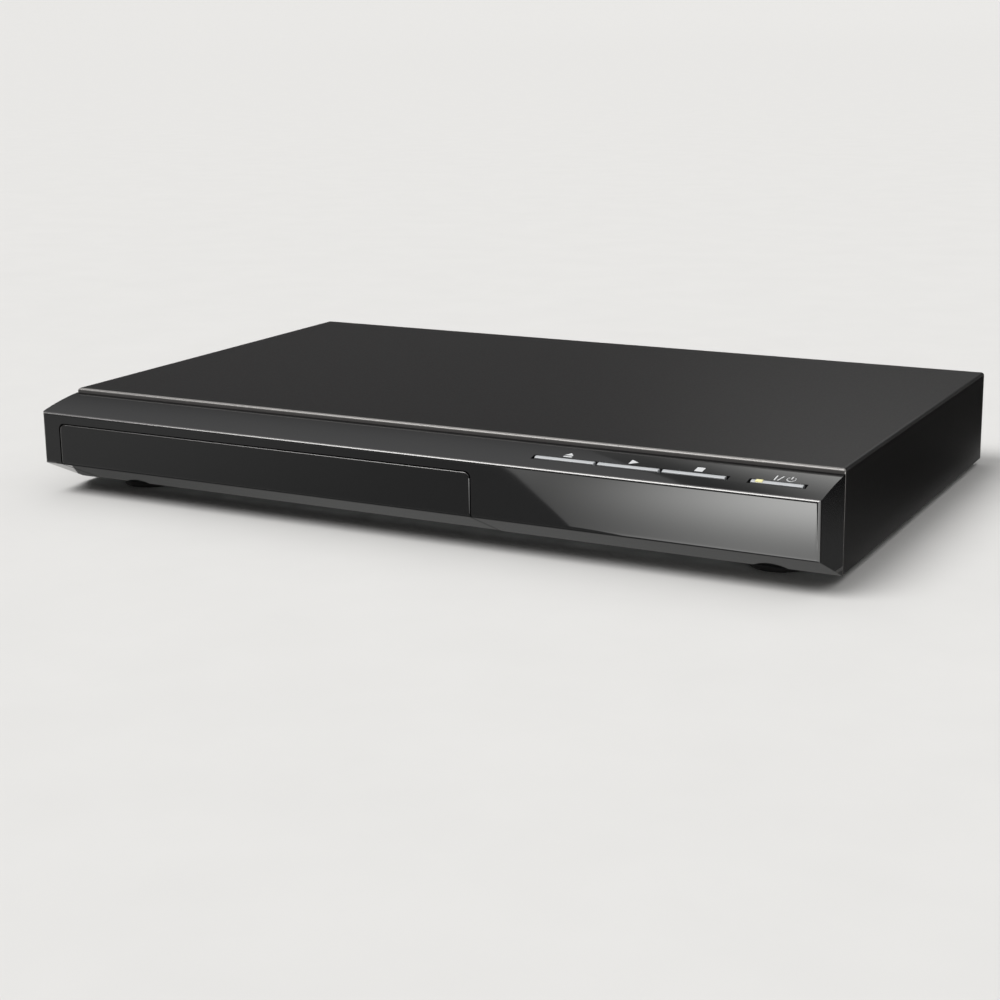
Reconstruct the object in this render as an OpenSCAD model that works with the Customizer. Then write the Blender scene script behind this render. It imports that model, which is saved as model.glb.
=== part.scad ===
// Slim disc player with a motor-driven tray behind a flush door.
// The origin is the middle of the base; X is to the right, Y to the back, Z up.

/* [Case] */
// Width of the case
case_w = 320; // [314:1:340]
// Depth from the face to the ends of the rear jacks
case_d = 210; // [206:1:230]
// Height of the case on its feet
case_h = 38.5; // [38:0.5:46]
// Height of the feet
foot_h = 2.5; // [2:0.5:4]
// Radius of a foot
foot_r = 11; // [8:0.5:13]
// Thickness of the sheet steel
sheet_t = 0.8; // [0.6:0.1:1]
// Gap between panels that meet
fit_gap = 0.2; // [0.1:0.05:0.4]
// How far the rear jacks stand out behind the cover
jack_reach = 6; // [4:0.5:8]

/* [Front panel] */
// Depth of the moulded front panel
panel_d = 22; // [20:0.5:24]
// Wall of the moulded front panel
panel_wall = 2; // [1.6:0.1:2.4]
// Step down from the cover to the panel's top
panel_step = 1.8; // [1:0.1:2.4]
// Fall of the panel's sloping top from back to front
slope_fall = 3.8; // [3:0.1:5]
// Height of the crown on the sloping top
slope_crown = 0.5; // [0:0.1:0.8]
// Height of the face's lower edge
face_base = 12.9; // [12:0.1:13.5]
// Radius of the face's upper edge
edge_r = 1.2; // [0.8:0.1:2]
// Radius of the face's lower edge
base_r = 2; // [1:0.1:3]
// Draw of each side of the panel towards the face
panel_taper = 0.7; // [0:0.1:1.5]

/* [Tray door] */
// Distance from the case's left side to the door
door_inset = 9; // [8:0.5:12]
// Distance from the case's right side to the door
door_right = 127; // [122:0.5:131]
// Distance from the face's top edge down to the door
door_drop = 3.7; // [3:0.1:4]
// Gap round the door
door_gap = 0.45; // [0.3:0.05:0.7]
// Radius of the door's upper corners
door_r = 2.4; // [1:0.2:4]

/* [Keys] */
// Length of one of the three transport keys
key_w = 22.4; // [20:0.1:24]
// Gap between transport keys
key_pitch_gap = 1.3; // [1:0.1:2]
// Length of the power key
power_w = 17.8; // [16:0.1:21]
// Depth of a key bar, front to back
key_d = 2.6; // [2.2:0.1:3]
// Gap between a key and its slot
key_gap = 0.4; // [0.3:0.05:0.6]
// How far a key stands above the panel
key_proud = 0.4; // [0.2:0.1:0.8]
// How far a key travels
key_travel = 0.4; // [0.3:0.05:0.5]
// Distance from the face back to the middle of the keys
key_back = 8.3; // [7.5:0.1:9]

/* [Disc tray] */
// Radius of the disc that the tray carries
disc_r = 60; // [59:0.1:61]
// Radial gap round the disc in its recess
disc_gap = 0.5; // [0.4:0.05:0.7]
// Radius of the small disc's recess
small_disc_r = 40.5; // [40.3:0.1:41]
// Depth of the disc recess
recess_depth = 4.1; // [3.6:0.1:4.3]
// Depth of the small disc's recess
small_depth = 0.7; // [0.4:0.1:0.9]
// Rim between the disc recess and each side of the tray
tray_rim = 4; // [3.4:0.1:4.6]
// Distance from the face to the disc recess
tray_lead = 16.5; // [15.5:0.1:17.5]
// Height of the tray's sides
tray_h = 8; // [7.6:0.1:8.2]
// Wall of the tray
tray_wall = 2; // [1.2:0.1:2.2]
// Width of the slot that the turntable rises through
tray_slot = 40; // [38:1:44]

/* [Loader] */
// Thickness of the loader frame's walls
frame_wall = 2; // [1.6:0.1:2.4]
// Radius of the turntable
turntable_r = 15; // [13:0.5:16]
// Radius of the clamper's pad
clamper_r = 10.4; // [9.6:0.1:12]
// Stroke of the cam slider
cam_travel = 12; // [10:0.5:13]
// Angle that the traverse drops through
traverse_drop = 3.2; // [2.8:0.1:3.3]
// Stroke of the pickup
pickup_travel = 34; // [30:0.5:35]
// Radius of a guide rod
rod_r = 1.5; // [1.2:0.1:1.6]
// Radial running clearance on shafts
run_gap = 0.05; // [0.03:0.01:0.08]

/* [Gears] */
// Module of all gears
gear_m = 0.8; // [0.78:0.01:0.82]
// Teeth on the tray pinion
tray_pinion_n = 16; // [16:1:17]
// Teeth on the tray gear's wheel
tray_wheel_n = 36; // [34:2:36]
// Teeth on the pulley gear's pinion
pulley_pinion_n = 12; // [12:2:14]
// Belt radius on the large pulley
belt_big_r = 10.2; // [9:0.1:10.4]
// Belt radius on the motor pulley
belt_small_r = 3; // [2.6:0.1:3.4]
// Thickness of the belt
belt_t = 1.2; // [1:0.1:1.4]

/* [Boards] */
// Thickness of the circuit boards
board_t = 1.6; // [1.2:0.1:1.6]
// Height of the boards above the chassis
board_lift = 5.2; // [4:0.1:6]
// Gap between the main board and the power board
board_gap = 6; // [4:0.5:10]
// Depth of the main board
main_d = 118; // [110:1:120]
// Width of the power board
power_board_w = 46; // [44:1:48]
// Depth of the power board
power_board_d = 124; // [118:1:128]
// Outer radius of a phono jack's shell
phono_r = 4.15; // [4.1:0.05:4.2]
// Distance between phono jacks in a row
phono_pitch = 14; // [13:0.5:14]

/* [Hidden] */
$fn = 64;
eps = 0.01;

// Places of the case
x_left = -case_w / 2;
x_right = case_w / 2;
y_face = -case_d / 2;
y_jacks = case_d / 2;
y_panel = y_face + panel_d;
y_lip = y_jacks - jack_reach;
y_rear = y_lip - sheet_t;
y_rear_in = y_rear - sheet_t;
pan_top = foot_h + sheet_t;
pan_x = x_right - sheet_t - fit_gap;
pan_flange = 11;
skirt_z = foot_h - 0.2;
bend_r = 0.4;
hook_t = 1.8;
hook_d = 7;
hook_x = pan_x - sheet_t - fit_gap;
hook_z = [12, 24];
vent_len = 22;
vent_w = 3;
vent_step = 7;
foot_x = x_right - 26;
foot_ys = [y_panel + foot_r + 0.8, y_rear_in - foot_r - 5];
foot_spots = [for (x = [-foot_x, foot_x]) for (y = foot_ys) [x, y]];

// Outline of the front panel
panel_top = case_h - panel_step;
face_top = panel_top - slope_fall;
slope_a = atan((slope_fall + 4 * slope_crown) / panel_d);
bevel_a = atan((face_base - skirt_z) / panel_d);
side_r = 1.5;
door_x0 = x_left + door_inset;
door_x1 = x_right - door_right;
door_top = face_top - door_drop;
plate_t = 1.5;
plate_y1 = y_face + 8.5;
plate_y0 = plate_y1 - plate_t;

// Heights and places of the loader, from the door's top down and from the chassis up
disc_t = 1.2;
tray_w = 2 * (disc_r + disc_gap + tray_rim);
lx = (door_x0 + door_x1) / 2;
ly = y_face + tray_lead + disc_gap + disc_r;
lz = pan_top + 0.5;
slide_gap = 0.3;
frame_floor_t = 1.6;
frame_floor = lz + frame_floor_t;
tray_top = door_top - 2.2;
tray_z0 = tray_top - tray_h;
ledge_top = tray_z0 - slide_gap;
ledge_t = 1.5;
recess_z = tray_top - recess_depth;
small_z = recess_z - small_depth;
tray_under = small_z - 1.1;
wall_top = tray_top + 2;
disc_z = recess_z + disc_t;
bridge_t = 1.2;
bridge_top = wall_top + bridge_t;
side_gap = 0.5;
frame_y0 = plate_y1 + 0.3;
frame_y1 = y_rear_in - 11.4;
tray_x0 = lx - tray_w / 2;
tray_x1 = lx + tray_w / 2;
tray_y0 = y_face + panel_wall + 0.1;
tray_y1 = frame_y1 - 6;
frame_x0 = tray_x0 - side_gap;
frame_x1 = tray_x1 + side_gap;
frame_base_y = y_panel + 1;
surround_z0 = bevel_z(plate_y0) + panel_wall * 1.1 + 0.6;

// Tray drive
tray_pinion_r = gear_m * tray_pinion_n / 2;
tray_wheel_r = gear_m * tray_wheel_n / 2;
pulley_pinion_r = gear_m * pulley_pinion_n / 2;
tooth_pitch = PI * gear_m;
tooth_fill = 0.4;
pressure_a = 20;
tooth_up = 0.7;
tooth_down = 0.95;
rack_root = 1;
rack_x = tray_x1 - 13.1;
rack_back = 1.2;
rack_w = 5.1;
rack_z0 = tray_z0 - 3;
tray_gear_x = rack_x - tray_pinion_r;
tray_gear_y = y_face + 41;
pulley_gear_x = tray_gear_x - tray_wheel_r - pulley_pinion_r;
rack_spare = 6;
rack_y0 = tray_gear_y - rack_spare;
axle_r = 1.5;
gear_z = frame_floor + 1.8;
gear_t = 3;
pulley_z = tray_z0 - 3.3;
pulley_h = 2.2;
belt_h = 1.5;
belt_gap = 0.15;
motor_x = lx - 12;
motor_y = y_face + 38;
motor_r = 12;
motor_top = pulley_z - 1.3;
shelf_z = motor_top + 0.1;
shelf_t = 0.8;

// Traverse
deck_t = 1.5;
deck_top = disc_z - 8.1;
deck_z = deck_top - deck_t;
deck_x0 = lx - 38;
deck_x1 = lx + 48;
deck_y0 = y_face + 59;
window_y0 = ly + 12;
hinge_y = frame_y1 - 20;
hinge_z = deck_z - 1;
trunnion_r = 2;
bush_r = 4;
bush_w = 5.6;
bracket_w = 6;
cam_y = deck_y0 - 3.5;
cam_t = 3;
pin_x = lx - 7;
pin_r = 1.5;
pin_z = (deck_z + deck_top) / 2;
pin_fall = (hinge_y - cam_y) * sin(traverse_drop);
cam_gap = 0.45;
cam_x0 = lx - 48;
cam_x1 = lx + 16;
lens_y = ly + 24;
rod_x = 24;
rod_z = deck_z - 2.6;
rod_y0 = ly + 8;
rod_y1 = hinge_y - 10;
pickup_w = 19;
pickup_top = deck_top + 0.4;
pickup_z0 = deck_z - 4.6;
yoke_gap = 0.35;
holder_w = 9;
holder_d = 7;
holder_z0 = pickup_top + 1.3;
holder_z1 = holder_z0 + 3.6;
lens_r = 2.5;
sled_pinion_n = 12;
sled_wheel_n = 30;
sled_motor_n = 10;
sled_pinion_r = gear_m * sled_pinion_n / 2;
sled_wheel_r = gear_m * sled_wheel_n / 2;
sled_motor_r = gear_m * sled_motor_n / 2;
sled_rack_x = lx + 23;
sled_x = sled_rack_x + sled_pinion_r;
sled_y = ly + 58;
sled_rack_y = [sled_y - pickup_travel - 10, sled_y + 6];
sled_turn = 40;
sled_motor_x = sled_x + (sled_wheel_r + sled_motor_r) * cos(sled_turn);
sled_motor_y = sled_y + (sled_wheel_r + sled_motor_r) * sin(sled_turn);
sled_z = deck_top + 0.5;
sled_pinion_t = 2;
sled_wheel_z = sled_z + sled_pinion_t + 0.3;
sled_wheel_t = 1.5;
sled_motor_body_r = 6;
sled_motor_z0 = lz + 2.6;
small_shaft_r = 0.8;
spindle_shaft_r = 1.2;
hub_r = 7.4;
sled_axle_r = 1.2;

// Keys and their board
key_y = y_face + key_back;
slot_end_gap = key_gap + 0.7;
keys_x0 = x_right - 105.9;
power_x0 = x_right - 27.2;
flange_d = 6;
flange_t = 1;
flange_top = slope_z(key_y - flange_d / 2) - panel_wall - 0.3;
transport_x = [for (i = [0:2]) keys_x0 + i * (key_w + key_pitch_gap)];
key_centres = [for (x = transport_x) x + key_w / 2];
power_centre = power_x0 + power_w / 2;
key_crown = 0.5;
stem_w = 4;
stem_h = 1.9;
tact_w = 6;
tact_h = 3.6;
tact_rise = 0.95;
stem_z = flange_top - flange_t - stem_h;
tact_top = stem_z - key_travel - 0.05;
key_board_top = tact_top - tact_rise - tact_h;
key_board_z = key_board_top - board_t;
key_board_x0 = keys_x0 - 5;
key_board_x1 = x_right - 5;
key_board_y0 = y_face + 4;
key_board_y1 = y_face + 20;
key_boss_x = [keys_x0 + 2, power_x0 - 4, x_right - 7.5];
key_boss_y = key_y + 5.7;
key_boss_r = 2.5;
led_x = x_right - 24.45;
ir_x = x_right - 47.5;
led_w = 2.4;
led_d = 1.5;

// Boards
board_z = pan_top + board_lift;
board_top = board_z + board_t;
power_x1 = x_right - 4;
power_b_x0 = power_x1 - power_board_w;
main_x0 = frame_x1 + frame_wall + 2;
main_x1 = power_b_x0 - board_gap;
main_y1 = y_rear_in - 1.9;
main_y0 = main_y1 - main_d;
power_y1 = y_rear_in - 3.4;
power_y0 = power_y1 - power_board_d;
main_vent_y = y_rear_in - 60;
power_vent_y = y_panel + 70;
harness_y = [power_y0 + 12, power_y0 + 20];
standoff_r = 3;
screw_r = 1.3;
screw_head_r = 2.6;
screw_head_h = 1.5;
hole_gap = 0.1;
coax_x = main_x1 - 7;
av_x = coax_x - 15.5;
phono_cols = [for (i = [2:-1:0]) av_x - 18.5 - i * phono_pitch];
phono_rows = [board_top + 6.2, board_top + 17.4];
phono_spots = concat([for (x = phono_cols) for (z = phono_rows) [x, z]], [[coax_x, phono_rows[0]]]);
jack_screw_x = [(phono_cols[0] + phono_cols[1]) / 2, (phono_cols[1] + phono_cols[2]) / 2];
jack_screw_z = (phono_rows[0] + phono_rows[1]) / 2;
phono_bore_r = phono_r - 0.6;
phono_neck_r = phono_r - 0.3;
phono_hole_r = 1.6;
collar_r = 4.8;
collar_end = y_rear + 1.2;
jack_d = 12;
av_half_w = 7.5;
av_half_h = 2.8;
av_z = board_top + av_half_h + 0.8;
inlet_x = power_b_x0 + 26;
inlet_w = 24;
inlet_h = 15;
inlet_z = board_top + inlet_h / 2;
inlet_depth = 12;
inlet_face = y_rear + 0.6;
pole_x = [inlet_x - 4.3, inlet_x + 4.3];
pole_r = 1.15;
cover_tabs = [x_left + 20, x_left + 140, x_right - 56];
tab_w = 12;
tab_z = case_h - 10;
lip_z = case_h - 2.2;
hem_y = y_panel + fit_gap;
hem_z = panel_top - 0.5;
cover_screw_z = case_h - 6.2;
rear_screw_z = foot_h + 2.9;
loader_board_x0 = frame_x1 + frame_wall + 1;
loader_board_x1 = loader_board_x0 + 24;
loader_board_y0 = y_face + 21;
loader_board_y1 = y_face + 53;
cable_w = 9;
cable_t = 0.4;
loader_cable_x = main_x0 + 2;
key_cable_x = keys_x0 + 7.5;
connector_d = 4;
connector_h = 3;
harness_plug_h = 6;
transformer_w = 24;
transformer_d = 20;
transformer_h = 17;
transformer_at = [power_b_x0 + 10, power_y0 + 44];
sink_at = [power_b_x0 + 8, power_y0 + 33];
sink_w = 30;
sink_h = 20;
fin_t = 1.2;
// Cans as x, y, radius and height, on the power board and on the main board
power_cans = [[32, 78, 8, 22], [10, 22, 4, 12], [20.5, 23, 5, 16], [33, 23, 5, 16]];
main_cans = [[70, 78, 3.2, 8], [18, 72, 3.2, 8]];
cable_rise = 1.4;
cable_arch = 3;
board_holes = [[main_x0 + 6, main_y0 + 12], [main_x1 - 6, main_y0 + 22], [main_x0 + 6, main_y1 - 18],
    [main_x1 - 16, main_y1 - 20], [power_b_x0 + 5, power_y0 + 6], [power_x1 - 5, power_y0 + 6],
    [power_b_x0 + 5, power_y1 - 6], [power_x1 - 5, power_y1 - 24]];
loader_holes = [[frame_x0 + 6, frame_base_y + 6], [frame_x1 - 6, frame_base_y + 6],
    [frame_x0 + 6, frame_y1 - 8], [frame_x1 - 6, frame_y1 - 8]];
bridge_y = [ly - 16, ly + 16];
ear_r = 3;
ear_x = [frame_x0 - frame_wall - ear_r, frame_x1 + frame_wall + ear_r];
pad_z = disc_z + disc_t + 0.3;
clamper_flange_z = bridge_top + 0.25;
clamper_flange_r = clamper_r + 3.6;

// A box given by its two limits along each axis
module span(x, y, z)
    translate([x[0], y[0], z[0]]) cube([x[1] - x[0], y[1] - y[0], z[1] - z[0]]);

// Upright, sideways and lengthwise round bars
module post(x, y, z, r)
    translate([x, y, z[0]]) cylinder(r = r, h = z[1] - z[0]);

module bar_x(x, y, z, r)
    translate([x[0], y, z]) rotate([0, 90, 0]) cylinder(r = r, h = x[1] - x[0]);

module bar_y(x, y, z, r)
    translate([x, y[0], z]) rotate([-90, 0, 0]) cylinder(r = r, h = y[1] - y[0]);

// A side outline of (y, z) points drawn out along X, and a front outline of (x, z) points along Y
module side_prism(points, x)
    translate([x[0], 0, 0]) rotate([90, 0, 90]) linear_extrude(x[1] - x[0]) polygon(points);

module front_prism(points, y)
    translate([0, y[1], 0]) rotate([90, 0, 0]) linear_extrude(y[1] - y[0]) polygon(points);

// Points of an arc round (x, y), in n steps from angle a0 to a1
function arc(x, y, r, a0, a1, n) =
    [for (i = [0:n]) let (a = a0 + (a1 - a0) * i / n) [x + r * cos(a), y + r * sin(a)]];

// A pan-head screw whose head sits on `seat` and points up, or to the back
module screw_up(x, y, seat, reach) {
    post(x, y, [seat, seat + screw_head_h], screw_head_r);
    post(x, y, [seat - reach, seat + eps], screw_r);
}

module screw_back(x, seat, z, reach) {
    bar_y(x, [seat, seat + screw_head_h], z, screw_head_r);
    bar_y(x, [seat - reach, seat + eps], z, screw_r);
}

// Heights of the panel's sloping top and of its lower bevel at depth y
function slope_z(y) =
    let (u = (y - y_face) / panel_d) face_top + slope_fall * u + 4 * slope_crown * u * (1 - u);
function bevel_z(y) = face_base - (face_base - skirt_z) * (y - y_face) / panel_d;

// Side outline of the panel, moved in by t, from the sloping top over the face to the bevel
function panel_outline(t, y_end) =
    let (er = max(edge_r - t, 0.2), br = max(base_r - t, 0.2))
    let (y_top = y_face + t + er * (1 - sin(slope_a)), y_low = y_face + t + br * (1 - sin(bevel_a)))
    let (lift = t / cos(bevel_a))
    concat(
        [for (i = [0:8]) let (y = y_end + (y_top - y_end) * i / 8) [y, slope_z(y) - t]],
        arc(y_face + t + er, slope_z(y_top) - t - er * cos(slope_a), er, 90 + slope_a, 180, 5),
        arc(y_face + t + br, bevel_z(y_low) + lift + br * cos(bevel_a), br, 180, 270 - bevel_a, 5),
        [[y_end, bevel_z(y_end) + lift]]);

// Plan of the panel, moved in by t
function panel_plan(t, y_end) =
    let (r = max(side_r - t, 0.2), half = x_right - panel_taper - t)
    concat([[-x_right + t, y_end]], arc(-half + r, y_face + t + r, r, 180, 270, 4),
        arc(half - r, y_face + t + r, r, 270, 360, 4), [[x_right - t, y_end]]);

module panel_form(t, y_end)
    intersection() {
        side_prism(panel_outline(t, y_end), [x_left - 1, x_right + 1]);
        linear_extrude(case_h) polygon(panel_plan(t, y_end));
    }

module panel_skin()
    difference() {
        panel_form(0, y_panel);
        panel_form(panel_wall, y_panel + 1);
    }

// Front outline of the door, moved in by g, open towards the table
function door_outline(g) = concat([[door_x0 + g, -1]],
    arc(door_x0 + door_r + g, door_top - door_r - g, door_r, 180, 90, 6),
    arc(door_x1 - door_r - g, door_top - door_r - g, door_r, 90, 0, 6),
    [[door_x1 - g, -1]]);

// Slots through the panel's top, one for the three transport keys and one for the power key
module key_slots()
    for (s = [[keys_x0, 3 * key_w + 2 * key_pitch_gap], [power_x0, power_w]])
        span([s[0] - slot_end_gap, s[0] + s[1] + slot_end_gap],
            [key_y - key_d / 2 - key_gap, key_y + key_d / 2 + key_gap], [face_base, case_h]);

// Wall behind the door with the opening that the tray runs through
module door_surround()
    difference() {
        wide = [door_x0 - plate_t, door_x1 + plate_t];
        high = door_top + plate_t;
        union() {
            span(wide, [plate_y0, plate_y1], [surround_z0, high]);
            span(wide, [y_face + panel_wall - eps, plate_y1], [door_top, high]);
            for (x = [door_x0 - plate_t, door_x1])
                span([x, x + plate_t], [y_face + panel_wall - eps, plate_y1], [face_base + 1, high]);
        }
        span([tray_x0 - 2.5, tray_x1 + 2.5], [plate_y0 - 1, plate_y1 + 1], [rack_z0 - 0.6, tray_top + 1.2]);
    }

module front_panel()
    color("#1b1b1c") {
        difference() {
            panel_skin();
            front_prism(door_outline(0), [y_face - 1, y_panel + 1]);
            key_slots();
        }
        door_surround();
        // Bosses that carry the key board
        for (x = key_boss_x)
            difference() {
                post(x, key_boss_y, [key_board_top, slope_z(key_boss_y) - panel_wall / 2], key_boss_r);
                post(x, key_boss_y, [key_board_top - 1, key_board_top + 6], screw_r + hole_gap);
            }
        // Hooks over the chassis floor and inside its sides
        for (x = [door_x1 + 16, x_right - 24])
            span([x, x + 10], [y_panel - 2, y_panel + hook_d],
                [pan_top + fit_gap, pan_top + fit_gap + hook_t]);
        for (m = [0, 1])
            mirror([m, 0, 0]) {
                span([hook_x - hook_t, hook_x], [y_panel - 4, y_panel + hook_d], hook_z);
                span([hook_x - hook_t, x_right - panel_wall + 0.5], [y_panel - 4, y_panel - 0.5], hook_z);
            }
    }

module tray_door()
    color("#141415") {
        intersection() {
            panel_skin();
            front_prism(door_outline(door_gap), [y_face - 1, y_panel - 1]);
        }
        // Tongue that clips under the front of the tray
        span([lx - 50, lx + 40], [y_face + panel_wall - eps, y_face + panel_wall + 11],
            [tray_z0 - slide_gap - 1.6, tray_z0 - slide_gap]);
    }

// Section of the cover, a U of bent sheet
function cover_section() =
    let (ri = bend_r, r = ri + sheet_t, top = case_h)
    concat([[x_left, skirt_z]], arc(x_left + r, top - r, r, 180, 90, 5),
        arc(x_right - r, top - r, r, 90, 0, 5),
        [[x_right, skirt_z], [x_right - sheet_t, skirt_z]],
        arc(x_right - r, top - r, ri, 0, 90, 5), arc(x_left + r, top - r, ri, 90, 180, 5),
        [[x_left + sheet_t, skirt_z]]);

// Waste outside the bend at the cover's front edge
function hem_waste() =
    let (r = bend_r + sheet_t)
    concat([[hem_y - 1, case_h + 1], [hem_y - 1, case_h - r]], arc(hem_y + r, case_h - r, r, 180, 90, 5),
        [[hem_y + r, case_h + 1]]);

module top_cover()
    color("#262626")
    difference() {
        union() {
            front_prism(cover_section(), [hem_y, y_lip]);
            span([x_left + sheet_t - eps, x_right - sheet_t + eps], [hem_y, hem_y + sheet_t],
                [hem_z, case_h - sheet_t + eps]);
            span([x_left + 3, x_right - 3], [y_rear, y_lip], [lip_z, case_h - sheet_t + eps]);
            for (x = cover_tabs)
                span([x - tab_w / 2, x + tab_w / 2], [y_rear, y_lip], [tab_z, lip_z + eps]);
        }
        for (x = cover_tabs)
            bar_y(x, [y_rear - 1, y_lip + 1], cover_screw_z, screw_r + 2 * hole_gap);
        side_prism(hem_waste(), [x_left - 1, x_right + 1]);
    }

// A row of n slots along X
module vent_row(x, n, y, z)
    for (i = [0:n - 1])
        span([x + i * vent_step, x + i * vent_step + vent_w], y, z);

module chassis_pan()
    color("#9a9c9e")
    difference() {
        union() {
            span([-pan_x, pan_x], [y_panel + 2 * fit_gap, y_rear_in], [foot_h, pan_top]);
            for (x = [-pan_x, pan_x - sheet_t])
                span([x, x + sheet_t], [y_panel + 2 * fit_gap, y_rear_in], [foot_h, foot_h + pan_flange]);
            span([-pan_x, pan_x], [y_rear_in - sheet_t, y_rear_in], [foot_h, foot_h + 5]);
        }
        vent_row(main_x0 + 10, 10, [main_vent_y, main_vent_y + vent_len], [foot_h - 1, pan_top + 1]);
        vent_row(power_b_x0 + 12, 5, [power_vent_y, power_vent_y + vent_len], [foot_h - 1, pan_top + 1]);
        for (h = loader_holes)
            post(h[0], h[1], [foot_h - 1, pan_top + 1], screw_r + hole_gap);
        for (x = cover_tabs)
            bar_y(x, [y_rear_in - 2, y_rear_in + 1], rear_screw_z, screw_r + hole_gap);
    }

module rear_panel()
    color("#2a2a2b")
    difference() {
        span([-pan_x, pan_x], [y_rear_in, y_rear], [foot_h, case_h - sheet_t - 2 * fit_gap]);
        for (s = phono_spots)
            bar_y(s[0], [y_rear_in - 1, y_rear + 1], s[1], collar_r + 0.2);
        front_prism(av_outline(0.3), [y_rear_in - 1, y_rear + 1]);
        span([inlet_x - inlet_w / 2 - 0.2, inlet_x + inlet_w / 2 + 0.2], [y_rear_in - 1, y_rear + 1],
            [inlet_z - inlet_h / 2 - 0.2, inlet_z + inlet_h / 2 + 0.2]);
        for (x = cover_tabs)
            for (z = [cover_screw_z, rear_screw_z])
                bar_y(x, [y_rear_in - 1, y_rear + 1], z, screw_r + hole_gap);
        for (x = jack_screw_x)
            bar_y(x, [y_rear_in - 1, y_rear + 1], jack_screw_z, screw_r + hole_gap);
        vent_row(lx - 46, 12, [y_rear_in - 1, y_rear + 1], [foot_h + 14, foot_h + 24]);
    }

module feet()
    color("#1c1c1c")
    for (s = foot_spots)
        translate([s[0], s[1], 0])
        rotate_extrude()
        polygon([[0, 0], [foot_r - 1.2, 0], [foot_r, 1.2], [foot_r, foot_h], [0, foot_h]]);

module cover_screws()
    color("#3a3a3c")
    for (x = cover_tabs)
        screw_back(x, y_lip, cover_screw_z, 6);

module rear_screws()
    color("#3a3a3c") {
        for (x = cover_tabs)
            screw_back(x, y_rear, rear_screw_z, 5);
        for (x = jack_screw_x)
            screw_back(x, y_rear, jack_screw_z, 6);
    }

// One key: a crowned bar that follows the panel's slope, a flange below the panel and a stem to the switch
module key(x0, w) {
    y0 = key_y - key_d / 2;
    y1 = key_y + key_d / 2;
    low = flange_top - eps;
    middle = x0 + w / 2;
    crown = [for (t = [-1:0.25:1]) let (y = key_y + t * key_d / 2, fall = key_crown * t * t)
        [y, slope_z(y) + key_proud - fall]];
    side_prism(concat([[y0, low]], crown, [[y1, low]]), [x0, x0 + w]);
    span([x0, x0 + w], [key_y - flange_d / 2, key_y + flange_d / 2], [flange_top - flange_t, flange_top]);
    span([middle - stem_w / 2, middle + stem_w / 2], [y0, y1], [stem_z, flange_top - flange_t + eps]);
}

module key_eject() color("#c9ccce") key(transport_x[0], key_w);

module key_play() color("#c9ccce") key(transport_x[1], key_w);

module key_stop() color("#c9ccce") key(transport_x[2], key_w);

module key_power()
    color("#c9ccce")
    difference() {
        key(power_x0, power_w);
        span([led_x - led_w / 2 - run_gap, led_x + led_w / 2 + run_gap],
            [key_y - led_d / 2 - run_gap, key_y + led_d / 2 + run_gap], [flange_top - flange_t - 1, case_h]);
    }

module led_lens()
    color("#f0ecc8")
    let (y0 = key_y - led_d / 2, y1 = key_y + led_d / 2, low = flange_top - flange_t, proud = key_proud + 0.1)
    side_prism([[y0, low], [y0, slope_z(y0) + proud], [y1, slope_z(y1) + proud], [y1, low]],
        [led_x - led_w / 2, led_x + led_w / 2]);

module key_board()
    color("#2f6b3f")
    difference() {
        span([key_board_x0, key_board_x1], [key_board_y0, key_board_y1], [key_board_z, key_board_top]);
        for (x = key_boss_x)
            post(x, key_boss_y, [key_board_z - 1, key_board_top + 1], screw_r + hole_gap);
    }

module tact_switches()
    color("#d8d8d4")
    for (x = concat(key_centres, [power_centre])) {
        span([x - tact_w / 2, x + tact_w / 2], [key_y - tact_w / 2, key_y + tact_w / 2],
            [key_board_top, key_board_top + tact_h]);
        post(x, key_y, [key_board_top + tact_h - eps, tact_top], 1.7);
    }

module ir_receiver()
    color("#2b2024") {
        span([ir_x - 2.8, ir_x + 2.8], [key_board_y0 - 1.2, key_board_y0 + 3], [key_board_z - 7, key_board_z]);
        bar_y(ir_x, [key_board_y0 - 1.7, key_board_y0], key_board_z - 3.5, 1.8);
    }

module power_led()
    color("#f4f0d8")
    translate([led_x, key_y, key_board_top])
    rotate_extrude()
    polygon(concat([[0, 0], [1.4, 0]], arc(0, 2.9, 1.4, 0, 90, 6)));

// Loader frame: walls, ledges for the tray, floor, motor shelf, cam guides and hinge brackets
module frame_walls() {
    for (x = [frame_x0 - frame_wall, frame_x1])
        span([x, x + frame_wall], [frame_base_y, frame_y1], [lz, wall_top]);
    for (x = [frame_x0 - frame_wall, frame_x1])
        span([x, x + frame_wall], [frame_y0, frame_base_y + eps], [surround_z0, wall_top]);
    span([frame_x0 - frame_wall, frame_x1 + frame_wall], [frame_y1 - frame_wall, frame_y1], [lz, wall_top]);
    for (x = [frame_x0 - eps, frame_x1 - 3.5 + eps])
        span([x, x + 3.5], [frame_y0, frame_y1 - 1], [ledge_top - ledge_t, ledge_top]);
    // Tabs that hold the tray down
    for (y = [frame_y0, ly - 24, ly + 30])
        for (x = [frame_x0 - eps, frame_x1 - 3 + eps])
            span([x, x + 3], [y, y + 10], [tray_top + 0.4, wall_top]);
}

module frame_floor_plates()
    difference() {
        union() {
            span([frame_x0 - eps, frame_x1 + eps], [frame_base_y, deck_y0 + 2], [lz, frame_floor]);
            span([frame_x0 - eps, frame_x1 + eps], [hinge_y - 6, frame_y1 - 1], [lz, frame_floor]);
            for (x = [frame_x0 - eps, frame_x1 + eps - 8])
                span([x, x + 8], [deck_y0, hinge_y], [lz, frame_floor]);
            for (h = loader_holes)
                post(h[0], h[1], [pan_top, lz + eps], 4);
        }
        post(motor_x, motor_y, [lz - 1, frame_floor + 1], motor_r + 0.6);
        for (h = loader_holes)
            post(h[0], h[1], [pan_top - 1, frame_floor + 1], screw_r + hole_gap);
    }

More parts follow.
